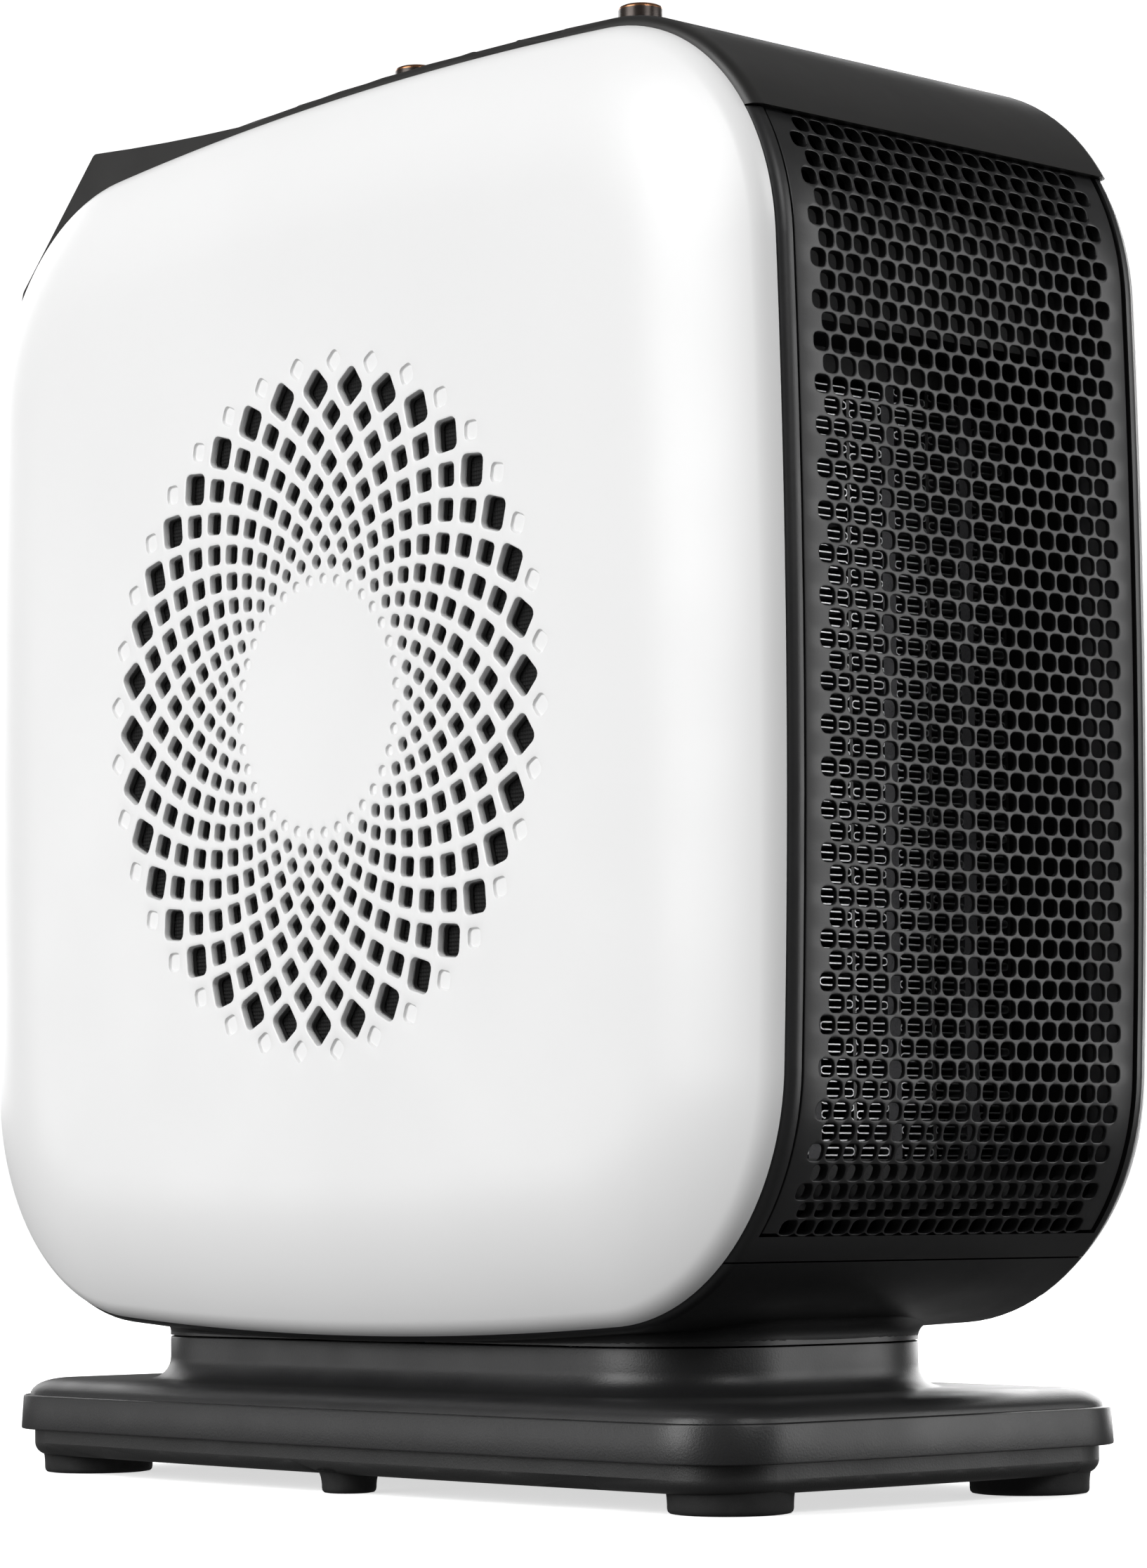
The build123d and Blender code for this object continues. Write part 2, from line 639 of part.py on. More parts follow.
def bulkhead():
    """Left bulkhead: carries the blower, the heater duct and the side panel."""
    inner_x = -BULK_OUT_X + BULK_T
    plate = head_slab(FRAME_PROUD - SHELL_WALL - BULK_CLEAR, -BULK_OUT_X, inner_x)
    plate -= rod_x(ROTOR_Y, HEAD_Z, SPIDER_RING_OUT + 3.0, -BULK_OUT_X, inner_x)
    lug_back = rear_screw_y() - 2.0
    for x, z in lug_spots():
        if x < 0:
            low = (inner_x - 0.2, lug_back - LUG_LENGTH, z - LUG_W / 2)
            plate += block(low, (inner_x + LUG_W, lug_back, z + LUG_W / 2))
            plate -= rod_y(x, z, SCREW_R, lug_back - LUG_LENGTH, lug_back)
    return plate


# ---- blower ----

def volute(wall):
    """The scroll's side outline: a spiral that opens into a straight outlet towards the front."""
    start, end = radians(SCROLL_START_DEG), pi / 2
    growth = log(SCROLL_END_R / SCROLL_START_R) / (end - start)
    steps = 8
    points = []
    for step in range(steps + 1):
        angle = start + (end - start) * step / steps
        radius = SCROLL_START_R * exp(growth * (angle - start)) + wall
        points.append((ROTOR_Y + radius * cos(angle), HEAD_Z + radius * sin(angle)))
    top_z = HEAD_Z + SCROLL_END_R + wall
    low_front = (DUCT_BACK_Y, DUCT_LOW_Z - wall)
    top_front = (DUCT_BACK_Y, top_z)
    lines = [
        Spline(*points),
        Line(points[-1], top_front),
        Line(top_front, low_front),
        Line(low_front, points[0]),
    ]
    return make_face(lines)


def scroll_half():
    """Left half of the blower housing."""
    outer_x = -BULK_OUT_X + BULK_T
    body = extrude(Plane.YZ.offset(outer_x) * volute(SCROLL_WALL), -outer_x - SCROLL_SPLIT_GAP)
    inner_x = outer_x + SCROLL_WALL
    body -= extrude(Plane.YZ.offset(inner_x) * volute(0), -inner_x)
    body -= block((inner_x, DUCT_BACK_Y - 1, DUCT_LOW_Z), (0, DUCT_BACK_Y + 1, HEAD_Z + SCROLL_END_R))
    return body - rod_x(ROTOR_Y, HEAD_Z, INLET_R, outer_x, inner_x)


def blower_rotor():
    """Double-inlet squirrel cage: a centre web, curved-back blades and two rims."""
    wheel = Rot(0, 90, 0) * Cylinder(ROTOR_R, WEB_T)
    wheel += Rot(0, 90, 0) * Cylinder(HUB_R, 4 * WEB_T)
    rim = Cylinder(ROTOR_R, RIM_W) - Cylinder(ROTOR_R - RIM_W, RIM_W)
    for side in (-1, 1):
        wheel += Pos(side * (ROTOR_HALF_X - RIM_W / 2), 0, 0) * Rot(0, 90, 0) * rim
    blade = Pos(0, ROTOR_R - ROTOR_DEPTH / 2, 0) * Rot(BLADE_ANGLE, 0, 0)
    blade = blade * Box(2 * ROTOR_HALF_X - 1, ROTOR_DEPTH - 1, BLADE_T)
    wheel += [Rot(360.0 / ROTOR_BLADES * index, 0, 0) * blade for index in range(ROTOR_BLADES)]
    wheel -= Rot(0, 90, 0) * Cylinder(SHAFT_R, 6 * WEB_T)
    return Pos(0, ROTOR_Y, HEAD_Z) * wheel


def motor_end_x():
    """Outer end of the blower motor, where the spider carries it."""
    return BULK_OUT_X - BULK_T


def bearing_spans():
    """X ranges of the two sleeve bearings."""
    start, end = MOTOR_START_X, motor_end_x() - 2.0
    return [(start, start + BEARING_L), (end - BEARING_L, end)]


def motor_body():
    """Blower motor inside the cage."""
    can = rod_x(ROTOR_Y, HEAD_Z, MOTOR_R, MOTOR_START_X, motor_end_x())
    can -= rod_x(ROTOR_Y, HEAD_Z, SHAFT_R + 1, MOTOR_START_X, motor_end_x() - 2)
    for low, high in bearing_spans():
        can -= rod_x(ROTOR_Y, HEAD_Z, BEARING_R, low, high)
    return can


def motor_bearings():
    """Two sleeve bearings pressed into the motor."""
    sleeves = []
    for low, high in bearing_spans():
        sleeve = rod_x(ROTOR_Y, HEAD_Z, BEARING_R, low, high)
        sleeves.append(sleeve - rod_x(ROTOR_Y, HEAD_Z, SHAFT_R + RUN_CLEAR, low, high))
    return group(sleeves)


def motor_shaft():
    """Shaft that carries the cage."""
    return rod_x(ROTOR_Y, HEAD_Z, SHAFT_R, -4 * WEB_T, motor_end_x() - 2.5)


def spider_arm_angles():
    """Direction of each motor bracket arm."""
    return [90 + 360 / SPIDER_SCREWS * index for index in range(SPIDER_SCREWS)]


def motor_spider():
    """Three-armed bracket over the right inlet that holds the motor."""
    low, high = motor_end_x(), BULK_OUT_X
    ring = rod_x(ROTOR_Y, HEAD_Z, SPIDER_RING_OUT, low, high)
    ring -= rod_x(ROTOR_Y, HEAD_Z, SPIDER_RING_IN, low, high)
    ring += rod_x(ROTOR_Y, HEAD_Z, MOTOR_R + 2, low, high)
    reach = (MOTOR_R + SPIDER_RING_OUT - 3) / 2
    for angle in spider_arm_angles():
        arm = Pos(0, reach, 0) * Box(high - low, SPIDER_RING_OUT - MOTOR_R, SPIDER_ARM_W)
        ring += Pos((low + high) / 2, ROTOR_Y, HEAD_Z) * Rot(angle, 0, 0) * arm
    return ring


# ---- heater ----

def heater_duct():
    """Rectangular duct from the blower to the grille that holds the heating element."""
    outer_x = DUCT_HALF_X + DUCT_WALL
    duct = block((-outer_x, DUCT_FRONT_Y, DUCT_LOW_Z - DUCT_WALL),
                 (outer_x, DUCT_BACK_Y, DUCT_HIGH_Z + DUCT_WALL))
    return duct - block((-DUCT_HALF_X, DUCT_FRONT_Y, DUCT_LOW_Z), (DUCT_HALF_X, DUCT_BACK_Y, DUCT_HIGH_Z))


def heater_block(low_x, high_x):
    """A full-height slice of the heating element."""
    return block((low_x, HEATER_FRONT_Y, HEATER_LOW_Z), (high_x, HEATER_BACK_Y, HEATER_HIGH_Z))


def plate_centres():
    """X of each contact plate."""
    return [index * HEATER_PERIOD for index in range(-2, 3)]


def bar_centres():
    """X of each ceramic bar."""
    return [(index + 0.5) * HEATER_PERIOD for index in range(-2, 2)]


def ceramic_bars():
    """Positive-temperature-coefficient heating bars."""
    return group(heater_block(x - BAR_T / 2, x + BAR_T / 2) for x in bar_centres())


def contact_plates():
    """Electrode plates between the fin strips; the outer two lie inside the duct's walls."""
    plates = []
    for x in plate_centres():
        centre = max(-DUCT_HALF_X + PLATE_T, min(DUCT_HALF_X - PLATE_T, x))
        plates.append(heater_block(centre - PLATE_T / 2, centre + PLATE_T / 2))
    return group(plates)


def fin_strip(low_x, high_x):
    """One corrugated aluminium strip between a plate and a bar."""
    folds = int((HEATER_HIGH_Z - HEATER_LOW_Z) / FIN_PITCH)
    pitch = (HEATER_HIGH_Z - HEATER_LOW_Z) / folds
    sheet_x = FIN_SHEET * sqrt(pitch ** 2 + (high_x - low_x) ** 2) / pitch
    rising = []
    for fold in range(folds + 1):
        rising.append((high_x - sheet_x if fold % 2 else low_x, HEATER_LOW_Z + fold * pitch))
    falling = [(x + sheet_x, z) for x, z in reversed(rising)]
    face = make_face(Polyline(*rising, *falling, close=True))
    return extrude(Plane.XZ.offset(-HEATER_BACK_Y) * face, HEATER_BACK_Y - HEATER_FRONT_Y)


def heater_fins():
    """Eight corrugated strips."""
    strips = []
    for bar in bar_centres():
        for side in (-1, 1):
            plate = bar + side * (HEATER_PERIOD - PLATE_T) / 2
            limit = DUCT_HALF_X - 1.5 * PLATE_T
            plate = max(-limit, min(limit, plate))
            face = bar + side * BAR_T / 2
            strips.append(fin_strip(min(plate, face), max(plate, face)))
    return group(strips)


def heater_cap(low_z, high_z):
    """Insulating end cap across the element."""
    half = DUCT_HALF_X - CAP_CLEAR
    return block((-half, HEATER_FRONT_Y - 1.5, low_z), (half, HEATER_BACK_Y + 1.5, high_z))


def baffle(low_z, high_z):
    """Plate close behind the grille that closes the space beside the duct's mouth."""
    half = BULK_OUT_X - BULK_T
    return block((-half, BAFFLE_Y, low_z), (half, BAFFLE_Y + BAFFLE_T, high_z))


def thermal_cutoff():
    """Overheat cut-out on top of the duct."""
    seat = DUCT_HIGH_Z + DUCT_WALL
    y = (HEATER_FRONT_Y + HEATER_BACK_Y) / 2
    can = rod_z(0, y, CUTOFF_R, seat, seat + CUTOFF_H)
    for x in (-4, 4):
        can += block((x - 1.5, y - 0.4, seat + CUTOFF_H - 0.5), (x + 1.5, y + 0.4, seat + CUTOFF_H + 7))
    return can


# ---- controls ----

def board_top_z():
    """Upper face of the circuit board."""
    return TRAY_Z + TRAY_T + POST_H + BOARD_T


def board_tray():
    """Tray between the bulkheads that carries the circuit board."""
    half = BULK_OUT_X - BULK_T
    tray = block((-half, -TRAY_HALF_Y, TRAY_Z), (half, TRAY_HALF_Y, TRAY_Z + TRAY_T))
    for x, y in corners(BOARD_HALF_X - 5, BOARD_HALF_Y - 5):
        tray += rod_z(x, y, BOSS_R, TRAY_Z + TRAY_T - 0.5, TRAY_Z + TRAY_T + POST_H)
    return tray


def control_board():
    """Circuit board."""
    top = board_top_z()
    return block((-BOARD_HALF_X, -BOARD_HALF_Y, top - BOARD_T), (BOARD_HALF_X, BOARD_HALF_Y, top))


def board_components():
    """Relays, a capacitor and a tilt switch on the board."""
    top = board_top_z()
    relay_half = RELAY_L / 2
    parts = []
    for x in (-PARTS_X, PARTS_X):
        low = (x - relay_half, -relay_half, top)
        parts.append(block(low, (x + relay_half, relay_half, top + RELAY_H)))
    parts.append(rod_z(-PARTS_X, PARTS_Y, CAPACITOR_R, top, top + CAPACITOR_H))
    low = (PARTS_X - CAPACITOR_R, PARTS_Y - CAPACITOR_R, top)
    parts.append(block(low, (PARTS_X + CAPACITOR_R, PARTS_Y + CAPACITOR_R, top + TILT_SWITCH_H)))
    return group(parts)


def cover_top_z(y):
    """Height of the top cover's outer surface on the centre line."""
    radius = arc_radius(HEAD_HALF_Z, CORNER_Z, CORNER_Y, CORNER_R) + TOP_PROUD
    return HEAD_Z + HEAD_HALF_Z + TOP_PROUD - (radius - sqrt(radius ** 2 - y ** 2))


def rotary_switch(y):
    """Rotary switch with a threaded bush that comes up through the top cover."""
    top = board_top_z()
    body = block((-SWITCH_HALF, y - SWITCH_HALF, top), (SWITCH_HALF, y + SWITCH_HALF, SWITCH_TOP_Z))
    body += rod_z(0, y, BUSH_R, SWITCH_TOP_Z - 1, cover_top_z(y) - 0.3)
    return body - rod_z(0, y, STEM_R + RUN_CLEAR, top + 6, FAR)


def control_knob(y, lift):
    """Slim cylindrical knob with its stem."""
    low = cover_top_z(y) + KNOB_GAP + lift / 2
    knob = rod_z(0, y, KNOB_R, low, low + KNOB_H + lift / 2)
    knob = fillet(knob.faces().sort_by(Axis.Z)[-1].edges(), KNOB_EDGE_R)
    return knob + rod_z(0, y, STEM_R, board_top_z() + 8, low + 1)


def main():
    os.makedirs("parts", exist_ok=True)
    write("base_top", base_top())
    write("base_bottom", base_bottom())
    write("rubber_feet", rubber_feet())
    write("base_screws", base_screws())
    write("cord_gland", cord_gland())
    write("thrust_washer", thrust_washer())
    write("swing_motor", swing_motor())
    write("drive_shaft", drive_shaft())
    write("drive_pinion", drive_pinion())
    write("swing_gear", swing_gear())
    write("swivel_post", swivel_post())

    ring = core_ring(FRAME_PROUD)
    write("front_frame", front_frame(ring))
    write("rear_cover", rear_cover(ring))
    write("bottom_shell", bottom_shell(ring))
    write("top_cover", top_cover(core_ring(TOP_PROUD)))
    write("front_grille", front_grille())
    write("rear_screws", rear_screws())

    panel, mesh, wall, half = side_panel(), intake_filter(), bulkhead(), scroll_half()
    write("left_side_panel", panel)
    write("right_side_panel", mirror(panel, about=Plane.YZ))
    write("left_intake_filter", mesh)
    write("right_intake_filter", mirror(mesh, about=Plane.YZ))
    write("left_bulkhead", wall)
    write("right_bulkhead", mirror(wall, about=Plane.YZ))
    write("left_scroll_half", half)
    write("right_scroll_half", mirror(half, about=Plane.YZ))

    write("blower_rotor", blower_rotor())
    write("motor_shaft", motor_shaft())
    write("motor_body", motor_body())
    write("motor_bearings", motor_bearings())
    write("motor_spider", motor_spider())

    write("heater_duct", heater_duct())
    write("ceramic_bars", ceramic_bars())
    write("contact_plates", contact_plates())
    write("heater_fins", heater_fins())
    write("heater_cap_low", heater_cap(DUCT_LOW_Z, HEATER_LOW_Z))
    write("heater_cap_high", heater_cap(HEATER_HIGH_Z, DUCT_HIGH_Z))
    write("lower_baffle", baffle(DUCT_LOW_Z - LOWER_BAFFLE_H, DUCT_LOW_Z))
    write("upper_baffle", baffle(DUCT_HIGH_Z, DUCT_HIGH_Z + UPPER_BAFFLE_H))
    write("thermal_cutoff", thermal_cutoff())

    write("board_tray", board_tray())
    write("control_board", control_board())
    write("board_components", board_components())
    write("thermostat_switch", rotary_switch(THERMOSTAT_Y))
    write("mode_switch", rotary_switch(MODE_Y))
    write("thermostat_knob", control_knob(THERMOSTAT_Y, 0.0))
    write("mode_knob", control_knob(MODE_Y, MODE_LIFT))


main()
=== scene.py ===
"""The looks of a ceramic space heater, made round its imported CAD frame. Lengths are in millimetres."""

import json
from math import asin, atan2, cos, pi, radians, sin, sqrt

import bpy
from mathutils import Matrix, Vector


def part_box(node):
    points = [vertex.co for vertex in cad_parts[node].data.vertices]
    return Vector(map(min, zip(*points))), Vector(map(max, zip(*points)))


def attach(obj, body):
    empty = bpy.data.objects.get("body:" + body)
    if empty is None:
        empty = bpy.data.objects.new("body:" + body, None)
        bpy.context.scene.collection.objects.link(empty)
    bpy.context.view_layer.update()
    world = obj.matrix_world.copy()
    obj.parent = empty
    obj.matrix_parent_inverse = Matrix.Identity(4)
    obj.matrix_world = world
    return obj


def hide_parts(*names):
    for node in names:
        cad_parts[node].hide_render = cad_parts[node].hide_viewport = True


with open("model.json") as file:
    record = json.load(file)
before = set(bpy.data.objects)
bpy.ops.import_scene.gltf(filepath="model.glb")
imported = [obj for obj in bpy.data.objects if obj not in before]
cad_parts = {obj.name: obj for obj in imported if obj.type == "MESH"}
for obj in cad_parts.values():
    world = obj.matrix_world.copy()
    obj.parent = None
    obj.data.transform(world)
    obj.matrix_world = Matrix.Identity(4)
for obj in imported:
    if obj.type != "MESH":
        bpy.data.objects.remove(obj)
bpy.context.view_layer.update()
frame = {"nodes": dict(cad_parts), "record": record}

MM = 0.001

# Head: side outline in the YZ plane, and the widths of its layers.
HEAD_Z = 161.0
HEAD_HALF_Y, HEAD_HALF_Z = 130.3, 129.0
HEAD_CORNER = (78.3, 75.8)
HEAD_CORNER_R = 50.4
SEAM_X = 49.3
FACE_X = 60.3
PANEL_ARCS = ((62.0, 28.0), (6.9, 70.0))    # radius, and tilt at its end in degrees
FRAME_PROUD = 1.2

# Side intake: rings of diamond holes, each ring half a step round from the last.
VENT_COUNT = 36
VENT_Y = -2.4
VENT_OUTER_R = 76.4
VENT_INNER_R = 22.9
VENT_RINGS = (
    # ring radius, side of the diamond, corner radius, passes through the panel
    (70.9, 3.9, 1.2, False),
    (65.6, 6.5, 1.45, True),
    (59.8, 4.75, 1.0, True),
    (54.9, 4.5, 0.95, True),
    (50.0, 4.15, 0.9, True),
    (45.5, 3.95, 0.9, True),
    (41.2, 3.6, 0.9, True),
    (37.2, 3.25, 0.95, True),
    (33.4, 2.9, 0.95, True),
    (29.8, 2.6, 1.0, True),
    (26.2, 2.3, 1.05, False),
)
VENT_CORNERS = 2 * VENT_COUNT
HUB_RADII = (VENT_INNER_R - 1.5, 14.0, 7.0, 1.0)
CELL_SIDE_STEPS = 6
THROUGH_PROFILE = (
    (0.42, 0.0), (0.14, 0.12), (0.0, 0.42), (-0.08, 1.3), (-0.25, 1.4), (-0.3, 2.3),
)
BLIND_PROFILE = ((0.3, 0.0), (0.08, 0.07), (-0.05, 0.4), (-0.3, 0.6))
VENT_SHADE_DEPTH = 1.3       # below this depth the holes' walls carry painted shade: dark grey that stands in for the shade of the inner frame

# Outlet grille.
GRILLE_PROUD = 0.9
GRILLE_HALF_X = 45.2
GRILLE_LIP_X = 46.3
GRILLE_LOW_Z, GRILLE_HIGH_Z = 52.0, 264.3
GRILLE_PITCH = 4.62
GRILLE_COLUMNS = 18
GRILLE_HOLE_W, GRILLE_HOLE_H, GRILLE_HOLE_R = 3.85, 3.42, 1.25
GRILLE_PROFILE = ((0.2, 0.0), (0.06, 0.07), (0.0, 0.25), (-0.02, 0.8), (0.2, 1.0))
DEEP_PROFILE = ((0.2, 0.0), (0.06, 0.07), (0.0, 0.25), (-0.1, 1.9), (0.1, 2.0))
ELEMENT_LOW_Z, ELEMENT_HIGH_Z = 67.0, 226.0      # above and below, the grille is backed by ribs

# Foot, pedestal and neck.
FOOT = dict(half=(61.0, 121.6), bow=(2.0, 1.0), corner_r=18.0)
BAND_LOW_Z, BAND_HIGH_Z = 9.85, 17.38
PLATE_Z = 21.0
PEDESTAL = dict(half=(40.5, 93.0), bow=(0.02, 0.02), corner_r=28.0)
PEDESTAL_Y = 3.0
PEDESTAL_TOP_Z = 30.4
FLARE_R = 4.8
PAN_Z = 4.05
FOOT_SPOT, FOOT_PAD_R = (41.0, 104.0), 12.0
MIDDLE_FOOT_X, MIDDLE_PAD_R = 51.0, 5.6

# Knobs and heating element.
KNOB_R = 4.75
KNOB_LOW_Z = 291.5
KNOB_RIM_H, KNOB_RIM_W = 0.75, 1.0
FIN_PITCH = 1.45
FIN_SHEET = 0.25
BAR_PITCH, BAR_W, CONTACT_PLATE = 22.2, 3.6, 0.8
BARS = 4

# Nodes with a finish of their own inside their slot.
OWN_FINISH = {"contact_plates": "dull_plate"}

# Studio.
FLOOR_GLOW, WALL_GLOW = 0.64, 0.98
GLOW_REACH = 1.8            # metres from the middle to where the floor is as bright as the wall
FLOOR_R, SWEEP_R, WALL_H = 4000.0, 1500.0, 6000.0
SKY_STRENGTH = 0.13
SOFTBOXES = (
    # name, centre and target in metres, size in metres, watts
    ("left_box", (-1.65, 0.3, 0.85), (0, 0, 0.15), (1.1, 1.6), 35.0),
    ("low_left_box", (-1.2, 1.25, 0.15), (0, 0, 0.05), (1.0, 0.5), 2.6),
    ("front_box", (1.3, -1.5, 0.45), (0, 0, 0.15), (1.0, 1.4), 17.0),
    ("high_box", (-0.15, -1.5, 1.1), (0, -0.1, 0.15), (0.6, 0.5), 7.0),
    ("top_box", (0.5, 0.1, 1.6), (0, 0, 0.25), (1.2, 1.2), 1.0),
    ("right_box", (1.7, 0.75, 0.55), (0, 0, 0.15), (1.2, 1.2), 24.0),
    ("rear_box", (0.4, 2.0, 0.7), (0, 0, 0.15), (1.0, 1.2), 9.0),
)

# Camera: metres and degrees.
CAMERA_PLACE = (-0.6102, -0.7172, 0.0563)
CAMERA_YAW, CAMERA_PITCH, CAMERA_ROLL = 40.893, 2.957, -0.455


# ---- outlines ----

def arc_radius(half, along, across, corner_r):
    """Radius of the side arc that passes the middle of a side and meets both corner arcs smoothly."""
    rise = half - along
    return (rise ** 2 + across ** 2 - corner_r ** 2) / (2 * (rise - corner_r))


class Outline:
    """A rounded rectangle with bowed sides, as arcs, that can be grown and shrunk."""

    def __init__(self, half_u, half_v, centre_u, centre_v, corner_r):
        self.side_r = arc_radius(half_u, centre_u, centre_v, corner_r)
        self.top_r = arc_radius(half_v, centre_v, centre_u, corner_r)
        self.side_u, self.top_v = half_u - self.side_r, half_v - self.top_r
        self.corner, self.corner_r = (centre_u, centre_v), corner_r
        self.side_end = atan2(centre_v, centre_u - self.side_u)
        self.top_start = atan2(centre_v - self.top_v, centre_u)

    def radius(self, angle, grow=0.0):
        """Distance from the centre to the grown outline, in one direction."""
        c, s = abs(cos(angle)), abs(sin(angle))
        arcs = (
            (self.side_u, 0.0, self.side_r, self.side_end),
            (*self.corner, self.corner_r, self.top_start),
            (0.0, self.top_v, self.top_r, pi),
        )
        for centre_u, centre_v, arc_r, last in arcs:
            along = centre_u * c + centre_v * s
            square = along ** 2 - centre_u ** 2 - centre_v ** 2 + (arc_r + grow) ** 2
            if square < 0:
                continue
            reach = along + sqrt(square)
            if atan2(reach * s - centre_v, reach * c - centre_u) <= last:
                return reach
        return 0.0

    def loop(self, count, grow=0.0):
        """Points round the outline, evenly spaced in angle."""
        points = []
        for index in range(count):
            angle = 2 * pi * index / count
            reach = self.radius(angle, grow)
            points.append((reach * cos(angle), reach * sin(angle)))
        return points

    def side_point(self, along, grow=0.0):
        """Point and outward normal at a distance along the side from its middle, past the corner too."""
        way = -1 if along < 0 else 1
        side_length = (self.side_r + grow) * self.side_end
        if abs(along) <= side_length:
            angle = abs(along) / (self.side_r + grow)
            u, v, arc_r = self.side_u, 0.0, self.side_r + grow
        else:
            angle = self.side_end + (abs(along) - side_length) / (self.corner_r + grow)
            (u, v), arc_r = self.corner, self.corner_r + grow
        point = (u + arc_r * cos(angle), way * (v + arc_r * sin(angle)))
        return point, (cos(angle), way * sin(angle))

    def along_side(self, height, grow=0.0):
        """The distance along the side at which the outline reaches a height, past the corner's start."""
        angle = asin((abs(height) - self.corner[1]) / (self.corner_r + grow))
        length = (self.side_r + grow) * self.side_end + (self.corner_r + grow) * (angle - self.side_end)
        return length if height > 0 else -length


HEAD = Outline(HEAD_HALF_Y, HEAD_HALF_Z, *HEAD_CORNER, HEAD_CORNER_R)


# ---- meshes ----

class Shell:
    """Points and faces of one piece while it is being built."""

    def __init__(self):
        self.points, self.faces = [], []

    def loop(self, points):
        """Add points and return their numbers."""
        start = len(self.points)
        self.points += points
        return list(range(start, start + len(points)))

    def bridge(self, first, second, closed=True):
        """Quads between two loops of the same length."""
        count = len(first)
        for index in range(count if closed else count - 1):
            after = (index + 1) % count
            self.faces.append((first[index], first[after], second[after], second[index]))

    def stack(self, loops, closed=True):
        """Quads along a list of point loops; returns the first and last loop's numbers."""
        numbers = [self.loop(points) for points in loops]
        for first, second in zip(numbers, numbers[1:]):
            self.bridge(first, second, closed)
        return numbers[0], numbers[-1]

    def cap(self, loop):
        """One face over a loop."""
        self.faces.append(tuple(loop))

    def mirrored(self):
        """The same shell on the other side of the YZ plane."""
        other = Shell()
        other.points = [(-x, y, z) for x, y, z in self.points]
        other.faces = [tuple(reversed(face)) for face in self.faces]
        return other


def make_piece(name, shell, material, body, replaces=(), sharp=38.0):
    """Turn a shell into a piece that rides on a body and stands for some CAD nodes."""
    mesh = bpy.data.meshes.new(name)
    mesh.from_pydata([[c * MM for c in point] for point in shell.points], [], shell.faces)
    mesh.validate()
    mesh.polygons.foreach_set("use_smooth", [True] * len(mesh.polygons))
    mesh.set_sharp_from_angle(angle=radians(sharp))
    mesh.materials.append(material)
    piece = bpy.data.objects.new(name, mesh)
    bpy.context.collection.objects.link(piece)
    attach(piece, body)
    if replaces:
        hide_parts(*replaces)
    return piece


def add_material(piece, material, wanted):
    """Give a second material to the faces whose centre, in millimetres, is wanted."""
    piece.data.materials.append(material)
    number = len(piece.data.materials) - 1
    for face in piece.data.polygons:
        if wanted(face.center / MM):
            face.material_index = number


def rounded_cell(half_u, half_v, corner_r, grow):
    """A rounded rectangle as 4 * CELL_SIDE_STEPS points, from the middle of one corner round."""
    half_u, half_v = half_u + grow, half_v + grow
    corner_r = max(corner_r + grow, 0.05)
    points = []
    for quarter in range(4):
        su, sv = ((1, 1), (-1, 1), (-1, -1), (1, -1))[quarter]
        centre = (su * (half_u - corner_r), sv * (half_v - corner_r))
        middle = pi / 4 + quarter * pi / 2
        nxt_u, nxt_v = ((-1, 1), (-1, -1), (1, -1), (1, 1))[quarter]
        for step in (0.0, 0.5, 1.0):
            angle = middle + step * pi / 4
            points.append((centre[0] + corner_r * cos(angle), centre[1] + corner_r * sin(angle)))
        after = (nxt_u * (half_u - corner_r), nxt_v * (half_v - corner_r))
        start, end = points[-1], middle + pi / 2
        first = (after[0] + corner_r * cos(end - pi / 4), after[1] + corner_r * sin(end - pi / 4))
        points.append(((start[0] + first[0]) / 2, (start[1] + first[1]) / 2))
        points.append(first)
        points.append((after[0] + corner_r * cos(end - pi / 8), after[1] + corner_r * sin(end - pi / 8)))
    return points


# ---- side panels ----

def cell_corner(ring, angle):
    """A corner of the intake's diamond lattice; rings -1 and one past the last close the pattern."""
    radii = [VENT_OUTER_R] + [entry[0] for entry in VENT_RINGS] + [VENT_INNER_R]
    return radii[ring + 1], angle


